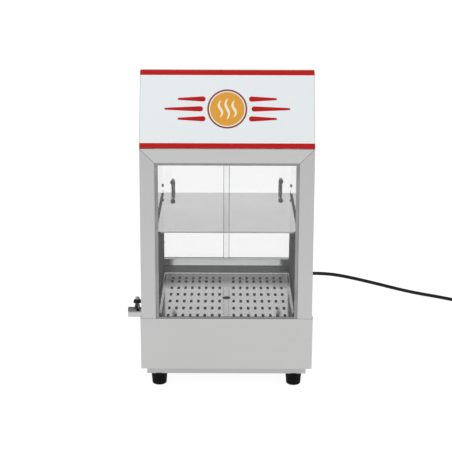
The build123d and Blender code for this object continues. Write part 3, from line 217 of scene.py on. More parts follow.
def polished(name, color, roughness, wave=0.00006, **sockets):
    """Polished sheet with faint rolling waves and smears."""
    made = Shader(name, color, roughness, metallic=1.0, **sockets)
    smears = made.noise(14.0, detail=5.0, roughness=0.65)
    made.color(made.colors(smears, shade(color, 0.96), shade(color, 1.03), 0.35, 0.7))
    made.rough(made.between(smears, roughness * 0.7, roughness * 1.6, 0.35, 0.75))
    made.bump(made.noise(6.0, detail=1.0), wave)
    return made


def moulded(name, color, roughness, grain=900.0, depth=0.00004, **sockets):
    """Moulded plastic or rubber with a fine texture and a slight unevenness of colour."""
    made = Shader(name, color, roughness, **sockets)
    fine = made.noise(grain, detail=2.0)
    wide = made.noise(30.0, detail=3.0)
    made.color(made.colors(wide, shade(color, 0.85), shade(color, 1.12), 0.3, 0.7))
    made.rough(made.between(fine, roughness - 0.06, roughness + 0.08, 0.3, 0.7))
    made.bump(fine, depth)
    return made


def gloss(name, color, roughness, peel=0.000003, **sockets):
    """Printed or enamelled face: an even colour under a slight orange peel."""
    made = Shader(name, color, roughness, **sockets)
    wide = made.noise(3.0, detail=1.0)
    made.color(made.colors(wide, shade(color, 0.996), shade(color, 1.004), 0.35, 0.65))
    made.rough(made.between(made.noise(60.0, detail=3.0), roughness * 0.99, roughness * 1.01, 0.35, 0.7))
    made.bump(made.noise(220.0, detail=1.0), peel)
    return made


def clear(name, tint, edge):
    """Glass that lets the lamps' light through to what is behind it, darker in its cut edges."""
    made = Shader(name, tint, 0.0, Transmission_Weight=1.0, IOR=1.45)
    made.rough(made.between(made.noise(7.0, detail=4.0), 0.0, 0.02, 0.55, 0.8))
    made.color(made.mixed(made.facing("Y", 0.5), edge, tint))
    path = made.add("ShaderNodeLightPath")
    through = made.add("ShaderNodeBsdfTransparent")
    through.inputs["Color"].default_value = (*tint, 1.0)
    mix = made.add("ShaderNodeMixShader")
    made.link(path.outputs["Is Shadow Ray"], mix.inputs["Fac"])
    made.link(made.main.outputs["BSDF"], mix.inputs[1])
    made.link(through.outputs["BSDF"], mix.inputs[2])
    made.link(mix.outputs["Shader"], made.output.inputs["Surface"])
    return made


ACROSS, UPRIGHT, DEEP = (4.0, 900.0, 1400.0), (1400.0, 900.0, 4.0), (1400.0, 4.0, 1400.0)
satin_across = brushed("satin_steel_across", (0.53, 0.53, 0.527), 0.34, ACROSS)
satin_deep = brushed("satin_steel_deep", (0.53, 0.53, 0.527), 0.34, DEEP)
satin_stile = brushed("satin_steel_stile", (0.53, 0.53, 0.527), 0.34, UPRIGHT)
# the top rail's steel is a lighter copy of the satin steel: painted light
satin_rail_painted_light = brushed("satin_steel_rail_painted_light", (0.58, 0.58, 0.577), 0.34, ACROSS)
# the bottom cover's steel is a darker copy of the satin steel: painted shade low on the base
satin_cover_painted_shade = brushed("satin_steel_cover_painted_shade", (0.45, 0.45, 0.448), 0.36, ACROSS)
sill_steel = polished("sill_strip_steel", (0.76, 0.78, 0.778), 0.07)
floor_steel = polished("tray_floor_steel_painted_light_and_shade", (0.64, 0.64, 0.642), 0.10)
# towards the back the tray floor turns satin, and its colour turns lighter: painted light against the shade at the
# back
floor_rear_satin_painted_light = floor_steel.beyond("Y", *FLOOR_SATIN_LIGHTER_REAR)
floor_steel.recolored(floor_rear_satin_painted_light, (0.95, 0.95, 0.952))
floor_steel.rough(floor_steel.between(floor_rear_satin_painted_light, 0.10, 0.42))
# faces that don't face up, the slots' walls, are near-black: painted shade in the slots
floor_steel.recolored(floor_steel.math("SUBTRACT", 1.0, floor_steel.facing("Z", 0.5)), (0.02, 0.02, 0.02))
# near-black rings round the tray floor's slots: painted shade that makes the slots look wider
slot_shade_color = moulded("slot_rim_painted_shade", (0.02, 0.02, 0.02), 0.5, Specular_IOR_Level=0.15)
deck_steel = polished("deck_steel", (0.28, 0.28, 0.282), 0.14)
# the water pan's steel is near-black: painted shade under the tray floor
pan_steel_painted_shade = brushed("pan_steel_painted_shade", (0.06, 0.06, 0.06), 0.45, DEEP, grain=0.12)
# the lower liners are near-black; their up-facing faces are painted lighter: painted light on the tops
liner_low = moulded("lower_liner_dark_painted_light_tops", (0.165, 0.165, 0.163), 0.6, grain=600.0, Specular_IOR_Level=0.0)
liner_low.recolored(liner_low.facing("Z", 0.5), (0.60, 0.60, 0.60))
liner_high = polished("liner_steel", (0.74, 0.745, 0.75), 0.02, wave=0.00002)
shelf_steel_painted_shade_front = polished("shelf_steel_painted_shade_front", (0.80, 0.80, 0.80), 0.06)
# the shelf's front-facing edge is darker: painted shade along the edge
shelf_steel_painted_shade_front.recolored(shelf_steel_painted_shade_front.facing("Y", 0.5, -1), (0.4, 0.4, 0.4))
rail_steel = polished("rail_steel", (0.20, 0.20, 0.20), 0.2)
tray_steel_painted_light_and_shade = polished("tray_steel_painted_light_and_shade", (0.40, 0.40, 0.403), 0.10)
# faces towards either side, the tray's side walls, are near-black: painted shade
tray_steel_painted_light_and_shade.recolored(tray_steel_painted_light_and_shade.facing("X", 0.7), (0.05, 0.05, 0.05))
# above 161.8 mm the tray is near-white: a painted highlight along its rim
tray_steel_painted_light_and_shade.recolored(tray_steel_painted_light_and_shade.beyond("Z", 161.8), (0.92, 0.92, 0.92))
chrome = polished("chrome_plate", (0.53, 0.535, 0.54), 0.12, wave=0.00001)
# faces turned upwards are darker: a painted reflection of a dark ceiling on the chrome
chrome.recolored(chrome.tilted("Z", 0.25, 0.6), (0.19, 0.19, 0.195))
dark_nickel = polished("dark_nickel", (0.19, 0.19, 0.19), 0.15, wave=0.00001)
zinc = brushed("zinc_steel", (0.46, 0.46, 0.45), 0.35, ACROSS)
brass = brushed("machined_brass", (0.72, 0.56, 0.30), 0.28, ACROSS)
copper = brushed("drawn_copper", (0.70, 0.42, 0.28), 0.30, DEEP)
sheath_steel = brushed("element_sheath", (0.30, 0.28, 0.26), 0.38, DEEP, grain=0.2)
aluminium = brushed("track_aluminium", (0.70, 0.70, 0.70), 0.36, ACROSS)
GLASS_EDGE = (0.10, 0.16, 0.14)
glass_front = clear("window_glass", (0.905, 0.907, 0.906), GLASS_EDGE)
glass_door = clear("door_glass", (0.968, 0.970, 0.969), GLASS_EDGE)
ground_edge = moulded("ground_glass_edge", (0.42, 0.47, 0.45), 0.45)
sign_white = gloss("sign_face", (0.785, 0.823, 0.850), 0.28)
line_white = gloss("sign_line_white", (0.92, 0.92, 0.92), 0.3)
line_grey = gloss("sign_edge_grey", (0.30, 0.31, 0.32), 0.4)
print_red = gloss("print_red", (0.47, 0.010, 0.009), 0.35, Specular_IOR_Level=0.12)
print_mustard = gloss("print_mustard", (0.72, 0.34, 0.04), 0.35, Specular_IOR_Level=0.2)
print_brown = gloss("print_brown", (0.26, 0.05, 0.010), 0.35, Specular_IOR_Level=0.2)
print_cream = gloss("print_cream", (0.88, 0.79, 0.60), 0.35)
print_white = gloss("print_white", (0.80, 0.80, 0.79), 0.4)
print_black = gloss("print_black", (0.012, 0.012, 0.013), 0.45)
seam_shadow = moulded("seam_shadow", (0.03, 0.03, 0.03), 0.7)
seal_rubber = moulded("seal_rubber", (0.30, 0.30, 0.30), 0.5)
foot_rubber = moulded("foot_rubber", (0.004, 0.004, 0.004), 0.6, Specular_IOR_Level=0.08)
black_plastic = moulded("black_plastic", (0.008, 0.008, 0.009), 0.42, Specular_IOR_Level=0.35)
cord_sheath = moulded("cord_sheath", (0.006, 0.006, 0.007), 0.4, grain=500.0, Specular_IOR_Level=0.22)
strap_black = moulded("strap_black", (0.02, 0.02, 0.02), 0.8, grain=1500.0, depth=0.0002)
pale_plastic = moulded("pale_plastic", (0.72, 0.70, 0.66), 0.45)
red_plastic = moulded("red_plastic", (0.55, 0.03, 0.02), 0.22)

LOOKS = {
    satin_across: ["base_casing", "rear_panel", "rear_header", "roof_panel"],
    satin_stile: ["left_stile", "right_stile"],
    satin_rail_painted_light: ["top_rail"],
    satin_cover_painted_shade: ["bottom_cover"],
    satin_deep: ["left_side_panel", "right_side_panel"],
    floor_steel: ["tray_floor"],
    deck_steel: ["base_deck", "rear_sill"],
    pan_steel_painted_shade: ["water_pan"],
    liner_low: ["left_lower_liner", "right_lower_liner"],
    liner_high: ["left_upper_liner", "right_upper_liner"],
    shelf_steel_painted_shade_front: ["bun_shelf"],
    rail_steel: ["tray_rails"],
    tray_steel_painted_light_and_shade: ["steam_tray"],
    chrome: ["valve_body", "valve_ball", "valve_stem"],
    dark_nickel: ["left_door_handle", "right_door_handle", "left_handle_screws", "right_handle_screws"],
    zinc: ["panel_screws", "liner_screws", "foot_fasteners", "lever_nut", "thermostat_spindle"],
    brass: ["drain_nipple", "pan_locknuts"],
    sheath_steel: ["heating_element"],
    copper: ["thermostat_sensor"],
    glass_front: ["front_glass"],
    glass_door: ["left_door_glass", "right_door_glass"],
    seal_rubber: ["glass_seal"],
    aluminium: ["lower_track", "upper_track"],
    foot_rubber: ["feet"],
    black_plastic: ["valve_lever", "thermostat_knob", "switch_housing", "overheat_cutout", "cord_gland"],
    red_plastic: ["switch_rocker", "indicator_lamps"],
    pale_plastic: ["terminal_block", "thermostat_body", "valve_seats"],
    sign_white: ["sign_panel"],
    cord_sheath: ["power_cord", "cord_coil", "plug"],
}
for look, names in LOOKS.items():
    for name in names:
        slots = nodes[name].data.materials
        if len(slots) == 0:
            slots.append(look.material)
        for n in range(len(slots)):
            slots[n] = look.material


# ---- mesh helpers ----------------------------------------------------------------------------------------
class Face:
    """A flat work plane in millimetres about the cabinet's middle, seen from its outer side."""

    def __init__(self, origin, across, up):
        self.origin = Vector(origin)
        self.across = Vector(across).normalized()
        self.up = Vector(up).normalized()
        self.out = self.across.cross(self.up)

    def point(self, u, v, w=0.0):
        return at(*(self.origin + self.across * u + self.up * v + self.out * w))


def add_prism(work, face, outline, low, high):
    """A closed prism on a work plane, from its outline and its two heights."""
    lower = [work.verts.new(face.point(u, v, low)) for u, v in outline]
    upper = [work.verts.new(face.point(u, v, high)) for u, v in outline]
    work.faces.new(upper)
    work.faces.new(lower[::-1])
    for n in range(len(outline)):
        work.faces.new((lower[n - 1], lower[n], upper[n], upper[n - 1]))


def add_ring(work, face, outer, inner, low, high):
    """A closed ring on a work plane between two outlines with as many points each."""
    loops = [[work.verts.new(face.point(u, v, w)) for u, v in outline]
             for outline, w in ((outer, low), (outer, high), (inner, high), (inner, low))]
    for one, other in zip(loops, loops[1:] + loops[:1]):
        for n in range(len(outer)):
            work.faces.new((one[n - 1], one[n], other[n], other[n - 1]))


def add_loft(work, face, stations, count=48):
    """A closed body along a work plane's outward axis, from (w, u, v, half width, half height, power)."""
    rings = []
    for w, u, v, half_u, half_v, power in stations:
        ring = []
        for n in range(count):
            angle = 2 * math.pi * n / count
            x = math.copysign(abs(math.cos(angle)) ** (2 / power), math.cos(angle))
            y = math.copysign(abs(math.sin(angle)) ** (2 / power), math.sin(angle))
            ring.append(work.verts.new(face.point(u + half_u * x, v + half_v * y, w)))
        rings.append(ring)
    for one, other in zip(rings, rings[1:]):
        for n in range(count):
            work.faces.new((one[n - 1], one[n], other[n], other[n - 1]))
    work.faces.new(rings[0][::-1])
    work.faces.new(rings[-1])


def arc(u, v, radius, start, end, steps):
    """Points of an arc, between two angles in degrees."""
    angles = [math.radians(start + (end - start) * n / steps) for n in range(steps + 1)]
    return [(u + radius * math.cos(angle), v + radius * math.sin(angle)) for angle in angles]


def circle(u, v, radius, steps=64):
    return arc(u, v, radius, 0.0, 360.0, steps)[:-1]


def rectangle(u0, u1, v0, v1, low_radius=0.0, high_radius=0.0, steps=6):
    """A rectangle's outline, with its lower and its upper corners rounded by their own radius."""
    outline = []
    corners = [(u0, v0, 1, 1, 180.0), (u1, v0, -1, 1, 270.0), (u1, v1, -1, -1, 0.0), (u0, v1, 1, -1, 90.0)]
    for u, v, inward_u, inward_v, start in corners:
        radius = low_radius if inward_v > 0 else high_radius
        if radius > 0.0:
            outline += arc(u + inward_u * radius, v + inward_v * radius, radius, start, start + 90.0, steps)
        else:
            outline.append((u, v))
    return outline


def ribbon(points, widths, steps=8):
    """A strip's outline along a line of points, with round ends."""
    sides = []
    for n, (u, v) in enumerate(points):
        before, after = points[max(0, n - 1)], points[min(len(points) - 1, n + 1)]
        angle = math.atan2(after[1] - before[1], after[0] - before[0])
        half = widths[n] / 2
        sides.append(((u + half * math.sin(angle), v - half * math.cos(angle)),
                      (u - half * math.sin(angle), v + half * math.cos(angle)), math.degrees(angle)))
    start, end = points[0], points[-1]
    far_cap = arc(*end, widths[-1] / 2, sides[-1][2] - 90.0, sides[-1][2] + 90.0, steps)[1:-1]
    near_cap = arc(*start, widths[0] / 2, sides[0][2] + 90.0, sides[0][2] + 270.0, steps)[1:-1]
    return [side[0] for side in sides] + far_cap + [side[1] for side in reversed(sides)] + near_cap


def finished(name, work, look, body="cabinet", sharp=None):
    """The piece made by a bmesh, riding on a body; rounded up to the angle called sharp."""
    mesh = bpy.data.meshes.new(name)
    bmesh.ops.recalc_face_normals(work, faces=work.faces)
    work.to_mesh(mesh)
    work.free()
    if sharp is not None:
        for polygon in mesh.polygons:
            polygon.use_smooth = True
        mesh.set_sharp_from_angle(angle=math.radians(sharp))
    made = bpy.data.objects.new(name, mesh)
    bpy.context.scene.collection.objects.link(made)
    mesh.materials.append(look.material)
    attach(made, body)
    return made


# ---- print on the sign and seams of the window frame -----------------------------------------------------
HALF_CABINET, HALF_INNER = 173.0, 143.5
FRONT_Y, DECK_Z = -185.0, 154.5
WINDOW_RISE, WINDOW_SETBACK, TOP_RAIL = 345.5, 28.0, 28.0
SIGN_RISE, SIGN_SETBACK = 146.0, 68.0
WINDOW_SLANT, SIGN_SLANT = math.hypot(WINDOW_RISE, WINDOW_SETBACK), math.hypot(SIGN_RISE, SIGN_SETBACK)
WINDOW = Face((0.0, FRONT_Y, DECK_Z), (1.0, 0.0, 0.0), (0.0, WINDOW_SETBACK, WINDOW_RISE))
SIGN = Face((0.0, FRONT_Y + WINDOW_SETBACK, DECK_Z + WINDOW_RISE), (1.0, 0.0, 0.0), (0.0, SIGN_SETBACK, SIGN_RISE))
SIGN_LOW, SIGN_HIGH, SIGN_CORNER = 1.5, SIGN_SLANT - 1.3, 5.0
FILM_UNDER, FILM = -0.3, 0.12                # a printed film starts in the face that carries it
BAND, BAND_LINE, EDGE_LINE = 10.5, 1.3, 0.7
EMBLEM_V = 81.0


def printed(name, face, look, prisms=(), rings=(), body="cabinet", high=FILM):
    """Flat shapes of one colour as a thin closed film on a face."""
    work = bmesh.new()
    for outline in prisms:
        add_prism(work, face, outline, FILM_UNDER, high)
    for outer, inner in rings:
        add_ring(work, face, outer, inner, FILM_UNDER, high)
    return finished(name, work, look, body)


def sign_print():
    """Red bands with white lines along the sign's edges, and a steaming roundel between tapering bars."""
    bands = [rectangle(-HALF_CABINET, HALF_CABINET, SIGN_HIGH - BAND, SIGN_HIGH, 0.0, SIGN_CORNER),
             rectangle(-HALF_CABINET, HALF_CABINET, SIGN_LOW, SIGN_LOW + BAND)]
    lines = [rectangle(-HALF_CABINET, HALF_CABINET, SIGN_HIGH - BAND - BAND_LINE, SIGN_HIGH - BAND),
             rectangle(-HALF_CABINET, HALF_CABINET, SIGN_LOW + BAND, SIGN_LOW + BAND + BAND_LINE)]
    bars = []
    for side in (-1, 1):
        for rise, start, end in ((20.0, 48.0, 96.0), (0.0, 53.0, 122.0), (-20.0, 48.0, 96.0)):
            places = [(side * (start + (end - start) * n / 6), EMBLEM_V + rise) for n in range(7)]
            bars.append(ribbon(places, [10.5 - 1.05 * n for n in range(7)]))
    waves = []
    for middle in (-13.5, 0.0, 13.5):
        half_height = 20.0 if middle == 0.0 else 16.0
        places = []
        for n in range(25):
            share = n / 24
            places.append((middle + 3.4 * math.sin(2 * math.pi * share), EMBLEM_V + half_height * (2 * share - 1)))
        waves.append(ribbon(places, [2.0 + 3.2 * math.sin(math.pi * n / 24) for n in range(25)]))
    printed("sign_red_print", SIGN, print_red, bands + bars)
    edges = [rectangle(*sorted((side * HALF_CABINET, side * (HALF_CABINET - EDGE_LINE))), SIGN_LOW + BAND,
                       SIGN_HIGH - BAND) for side in (-1, 1)]
    printed("sign_edge_lines", SIGN, line_grey, edges, high=1.5 * FILM)
    printed("sign_white_lines", SIGN, line_white, lines)
    printed("sign_roundel", SIGN, print_mustard, [circle(0.0, EMBLEM_V, 34.0)])
    printed("sign_roundel_ring", SIGN, print_brown,
            rings=[(circle(0.0, EMBLEM_V, 39.5), circle(0.0, EMBLEM_V, 36.2))])
    printed("sign_steam_waves", SIGN, print_cream, waves, high=2 * FILM)


SEAM = 0.6


def mitre_seams():
    """Dark joint lines where the window frame's head meets its uprights."""
    work = bmesh.new()
    for side in (-1, 1):
        line = [(side * HALF_INNER, WINDOW_SLANT - TOP_RAIL), (side * HALF_CABINET, WINDOW_SLANT)]
        add_prism(work, WINDOW, ribbon(line, [SEAM, SEAM], steps=2), FILM_UNDER, 0.04)
    finished("mitre_seams", work, seam_shadow)


SILL_Y, SILL_LOW, SILL_TOP, SILL_LEAN, SILL_REACH = 121.0, 163.0, 176.0, 4.6, 11.0
STRIP_SHEET, STRIP_GAP, STRIP_LIFT, STRIP_FOLD = 0.8, 0.3, 0.4, 0.2


def sill_strip():
    """Steep polished strip along the front of the rear sill, folded back over its slope."""
    side = Face((-HALF_INNER + STRIP_GAP, 0.0, 0.0), (0.0, -1.0, 0.0), (0.0, 0.0, 1.0))
    low, high = SILL_LOW + STRIP_FOLD, SILL_TOP + STRIP_LIFT
    front, back = -SILL_Y + STRIP_GAP, -SILL_Y - SILL_REACH
    folded = front - SILL_LEAN
    outline = [(front, low), (folded + STRIP_FOLD, high - 3 * STRIP_FOLD), (folded, high - STRIP_FOLD),
               (folded - 2 * STRIP_FOLD, high), (back, high), (back, high - STRIP_SHEET),
               (folded - STRIP_SHEET, high - STRIP_SHEET - STRIP_LIFT), (front - STRIP_SHEET, low)]
    work = bmesh.new()
    add_prism(work, side, outline, -2 * (HALF_INNER - STRIP_GAP), 0.0)
    finished("sill_strip", work, sill_steel, sharp=40.0)


def slot_shade_rings():
    """Near-black rings of painted shade around the tray floor's slots."""
    top = Face((0.0, 0.0, FLOOR_TOP), (1.0, 0.0, 0.0), (0.0, 1.0, 0.0))
    rings = []
    for column in range(-SLOT_COLUMNS, SLOT_COLUMNS + 1):
        for row in range(SLOT_ROWS if column else 0):
            u, v = column * SLOT_PITCH, SLOT_MIDDLE + (row - (SLOT_ROWS - 1) / 2) * ROW_PITCH
            reach = (SLOT_LENGTH - SLOT_WIDTH) / 2
            rings.append([[*arc(u, v + reach, radius, 0.0, 180.0, 8), *arc(u, v - reach, radius, 180.0, 360.0, 8)]
                          for radius in (SLOT_WIDTH / 2 + SLOT_SHADE_WIDTH, SLOT_WIDTH / 2)])
    printed("slot_shade_rings", top, slot_shade_color, (), rings, "steam_tray")


def door_edges():
    """Ground arris of each sliding door, along its closing edge."""
    for side, sign in (("left", 1), ("right", -1)):
        low, high = (from_frame(corner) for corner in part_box(side + "_door_glass"))
        edge = high.x if sign > 0 else low.x
        work = bmesh.new()
        for y, across in ((low.y, 1.0), (high.y, -1.0)):
            face = Face((edge, y, 0.0), (across, 0.0, 0.0), (0.0, 0.0, 1.0))
            ends = sorted((0.0, -sign * across * 1.1))
            add_prism(work, face, rectangle(*ends, low.z + 0.5, high.z - 0.5), -0.1, 0.03)
        finished(side + "_door_arris", work, ground_edge, side + "_door")


sign_print()
mitre_seams()
sill_strip()
slot_shade_rings()
door_edges()


# ---- controls on the rear panel --------------------------------------------------------------------------
PANEL_Y, CONTROL_Z = 185.0, 102.0
KNOB_X, KNOB_FACE_Y, SWITCH_X = -92.0, 204.0, 20.0
DIAL = Face((KNOB_X, PANEL_Y, CONTROL_Z), (-1.0, 0.0, 0.0), (0.0, 0.0, 1.0))
DIAL_STEPS, DIAL_TURN = ("0", "30", "50", "70", "90", "110"), 270.0
TICK_START, TICK_END, NUMBER_RADIUS, NUMBER_HEIGHT = 21.5, 25.0, 30.5, 7.6
INK = 0.06


def add_words(work, words, face, u, v, height):
    """Plain figures as thin raised shapes, centred on a point of a face."""
    curve = bpy.data.curves.new("figures", "FONT")
    curve.body = words
    curve.size = height * MM
    curve.extrude = INK * MM
    curve.align_x, curve.align_y = "CENTER", "CENTER"
    curve.resolution_u = 4
    made = bpy.data.objects.new("figures", curve)
    mesh = bpy.data.meshes.new_from_object(made)
    place = Matrix((face.across, face.up, face.out)).transposed().to_4x4()
    place.translation = face.point(u, v)
    mesh.transform(place)
    work.from_mesh(mesh)
    bpy.data.objects.remove(made)
    bpy.data.curves.remove(curve)
    bpy.data.meshes.remove(mesh)


def dial():
    """Tick marks and numbers round the thermostat's knob, clockwise from the top."""
    work = bmesh.new()
    steps = 2 * (len(DIAL_STEPS) - 1)
    for n in range(steps + 1):
        angle = math.radians(DIAL_TURN * n / steps)
        out_u, out_v = math.sin(angle), math.cos(angle)
        end = TICK_END if n % 2 == 0 else TICK_END - 1.4
        line = [(TICK_START * out_u, TICK_START * out_v), (end * out_u, end * out_v)]
        width = 0.8 if n % 2 == 0 else 0.5
        add_prism(work, DIAL, ribbon(line, [width, width], steps=2), FILM_UNDER, INK)
        if n % 2 == 0:
            add_words(work, DIAL_STEPS[n // 2], DIAL, NUMBER_RADIUS * out_u, NUMBER_RADIUS * out_v, NUMBER_HEIGHT)
    bmesh.ops.remove_doubles(work, verts=work.verts, dist=0.000001)
    finished("dial_marks", work, print_black)


def pointer_line():
    """White line along the knob's pointer rib."""
    face = Face((KNOB_X, KNOB_FACE_Y, CONTROL_Z), (-1.0, 0.0, 0.0), (0.0, 0.0, 1.0))
    printed("knob_pointer_line", face, print_white, [rectangle(-0.6, 0.6, 5.0, 16.6)], body="thermostat_knob",
            high=INK)


def switch_marks():
    """I and O on the rocker's two faces, which rest tilted about its pivot."""
    pivot, tilt = Vector((SWITCH_X, PANEL_Y - 2.0, CONTROL_Z)), Matrix.Rotation(math.radians(9.0), 3, "X")
    waist, rise, reach, place = 3.9, 1.6, 7.4, 3.9
    for name, side in (("switch_off_mark", 1), ("switch_on_mark", -1)):
        up = tilt @ Vector((0.0, side * rise, reach))
        middle = pivot + tilt @ Vector((0.0, waist + rise * place / reach, side * place))
        face = Face(middle, (-1.0, 0.0, 0.0), up)
        if side > 0:
            printed(name, face, print_white, rings=[(circle(0, 0, 1.9, 32), circle(0, 0, 1.3, 32))],
                    body="switch_rocker", high=INK)
        else:
            printed(name, face, print_white, [rectangle(-0.35, 0.35, -1.8, 1.8)], body="switch_rocker", high=INK)


def islands(node):
    """The lowest and highest corner of each separate solid in a node."""
    work = bmesh.new()
    work.from_mesh(nodes[node].data)
    bmesh.ops.remove_doubles(work, verts=work.verts, dist=0.00001)
    waiting = set(work.verts)
    boxes = []
    while waiting:
        reached, group = [waiting.pop()], []
        while reached:
            vert = reached.pop()
            group.append(from_frame(vert.co))
            for edge in vert.link_edges:
                other = edge.other_vert(vert)
                if other in waiting:
                    waiting.remove(other)
                    reached.append(other)
        boxes.append((Vector(map(min, zip(*group))), Vector(map(max, zip(*group)))))
    work.free()
    return boxes


def cross_recess_shade():
    """Cross slots in the heads of the rear panel's and the inner walls' screws, as near-black films: painted shade
    in the slots.
    """
    work = bmesh.new()
    for node, arm in (("panel_screws", 1.7), ("liner_screws", 1.9)):
        for low, high in islands(node):
            middle = (low + high) / 2
            if node == "panel_screws":
                face = Face((middle.x, high.y, middle.z), (-1.0, 0.0, 0.0), (0.0, 0.0, 1.0))
            elif middle.x < 0:
                face = Face((high.x, middle.y, middle.z), (0.0, 1.0, 0.0), (0.0, 0.0, 1.0))
            else:
                face = Face((low.x, middle.y, middle.z), (0.0, -1.0, 0.0), (0.0, 0.0, 1.0))
            for turn in (45.0, 135.0):
                u, v = arm * math.cos(math.radians(turn)), arm * math.sin(math.radians(turn))
                add_prism(work, face, ribbon([(-u, -v), (u, v)], [0.7, 0.7], steps=2), -0.6, 0.03)
    finished("screw_recess_shade", work, seam_shadow)


dial()
pointer_line()
switch_marks()
cross_recess_shade()


# ---- cord ------------------------------------------------------------------------------------------------
CORD = 8.4
COIL_X, COIL_Y, COIL_RADIUS = 612.0, 231.0, 47.25
COIL_LOW, COIL_HIGH = CORD / 2, 12.8
TURN_STEP = 20.0
CORD_EXIT = (148.0, 222.0, 90.0)
CORD_ROUTE = [CORD_EXIT, (148, 251, 90), (158, 276, 87.2), (179, 294, 83), (212, 309, 77.5), (245, 322, 72),
              (279, 333, 64), (327, 345, 49.5), (377, 353, 34.5), (427, 357, 20), (475, 356, 9.3), (522, 347, 4.2),
              (560, 324, 4.2), (599, 302.5, 4.2)]
PLUG_X, PLUG_Y = COIL_X + COIL_RADIUS + CORD / 2, 186.0


def coil_points():
    """Points of the stored turns, wound clockwise from the outer low turn to the outer high one."""
    inner, outer = COIL_RADIUS - CORD / 2, COIL_RADIUS + CORD / 2
    stages = [(-252, -302, outer, inner, COIL_LOW, COIL_LOW), (-562, -612, inner, inner, COIL_LOW, COIL_HIGH),
              (-872, -922, inner, outer, COIL_HIGH, COIL_HIGH)]
    points = []
    angle = 58.0
    while angle > -1079.0:
        radius, z = outer, COIL_LOW
        for start, end, r0, r1, z0, z1 in stages:
            share = min(1.0, max(0.0, (start - angle) / (start - end)))
            if share > 0.0:
                share = share * share * (3 - 2 * share)
                radius, z = r0 + (r1 - r0) * share, z0 + (z1 - z0) * share
        radius /= math.cos(math.radians(TURN_STEP / 2))
        points.append((COIL_X + radius * math.cos(math.radians(angle)),
                       COIL_Y + radius * math.sin(math.radians(angle)), z))
        angle -= TURN_STEP
    return points


def supply_cord():
    """The supply cord as one smooth line: down to the ground, four layers of turns, and on to the plug."""
    lead = [(PLUG_X, COIL_Y, COIL_HIGH), (PLUG_X, 208.0, COIL_HIGH), (PLUG_X, PLUG_Y, COIL_HIGH)]
    route = CORD_ROUTE + coil_points() + lead
    curve = bpy.data.curves.new("supply_cord", "CURVE")
    curve.dimensions = "3D"
    curve.bevel_depth = CORD / 2 * MM
    curve.bevel_resolution = 6
    curve.resolution_u = 8
    curve.use_fill_caps = True
    spline = curve.splines.new("NURBS")
    spline.points.add(len(route) - 1)
    for point, place in zip(spline.points, route):
        point.co = (*at(*place), 1.0)
    spline.order_u = 3
    spline.use_endpoint_u = True
    made = bpy.data.objects.new("supply_cord", curve)
    bpy.context.scene.collection.objects.link(made)
    curve.materials.append(cord_sheath.material)
    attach(made, "cabinet")
    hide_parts("power_cord", "cord_coil")
    return made


# The plug lies with its axis along the last run of the cord, at the height of the coil's upper turns.
PLUG = Face((PLUG_X, PLUG_Y, COIL_HIGH), (-1.0, 0.0, 0.0), (0.0, 0.0, 1.0))
PLUG.out = Vector((0.0, -1.0, 0.0))
SLEEVE, SLEEVE_START, SLEEVE_END = 22.0, 5.7, 7.62
BODY_HALF_WIDTH, BODY_HALF_HEIGHT, BODY_DEPTH, BODY_POWER = 13.0, 12.8, 28.0, 4.6


def plug_moulding():
    """Moulded plug: grooved sleeve, and a rounded body with finger grips at its sides."""
    stations = []
    for n in range(45):
        w = SLEEVE * n / 44
        radius = SLEEVE_START + (SLEEVE_END - SLEEVE_START) * w / SLEEVE
        if 3.0 < w < 19.0 and (w - 3.0) % 4.0 < 1.5:
            radius -= 0.8
        stations.append((w, 0.0, 0.0, radius, radius, 2.0))
    for depth, inset in ((0.0, 3.0), (0.4, 1.7), (1.0, 0.9), (1.9, 0.3), (3.0, 0.0), (5.5, 0.0)):
        stations.append((SLEEVE + depth, 0.0, 0.0, BODY_HALF_WIDTH - inset, BODY_HALF_HEIGHT - inset, BODY_POWER))
    for n in range(4):
        for depth, dip in ((0.4, 0.3), (1.0, 1.0), (2.0, 1.0), (2.6, 0.3), (3.0, 0.0), (4.2, 0.0)):
            w = SLEEVE + 5.5 + 4.2 * n + depth
            stations.append((w, 0.0, 0.0, BODY_HALF_WIDTH - dip, BODY_HALF_HEIGHT, BODY_POWER))
    for depth, inset in ((BODY_DEPTH - 1.0, 0.0), (BODY_DEPTH - 0.3, 0.3), (BODY_DEPTH, 1.0)):
        stations.append((SLEEVE + depth, 0.0, 0.0, BODY_HALF_WIDTH - inset, BODY_HALF_HEIGHT - inset, BODY_POWER))
    work = bmesh.new()
    add_loft(work, PLUG, stations)
    made = finished("plug_moulding", work, cord_sheath, sharp=40.0)
    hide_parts("plug")
    return made


def plug_blades():
    """Two flat blades and a round earth pin, with eased tips."""
    face_w = SLEEVE + BODY_DEPTH
    work = bmesh.new()
    for u in (-6.35, 6.35):
        stations = [(face_w - 1.0, u, 2.0, 0.75, 3.2, 8.0), (face_w + 14.6, u, 2.0, 0.75, 3.2, 8.0),
                    (face_w + 15.6, u, 2.0, 0.6, 2.8, 6.0), (face_w + 16.0, u, 2.0, 0.3, 2.2, 4.0)]
        add_loft(work, PLUG, stations, count=32)
    tip = [(17.0, 2.4), (18.0, 2.2), (18.7, 1.6), (19.0, 0.8)]
    stations = [(face_w - 1.0, 0.0, -6.0, 2.4, 2.4, 2.0)]
    stations += [(face_w + w, 0.0, -6.0, radius, radius, 2.0) for w, radius in tip]
    add_loft(work, PLUG, stations, count=32)
    return finished("plug_blades", work, chrome, sharp=40.0)


TIE_ANGLE, TIE_WIDTH, TIE_THICKNESS = 200.0, 12.0, 0.8


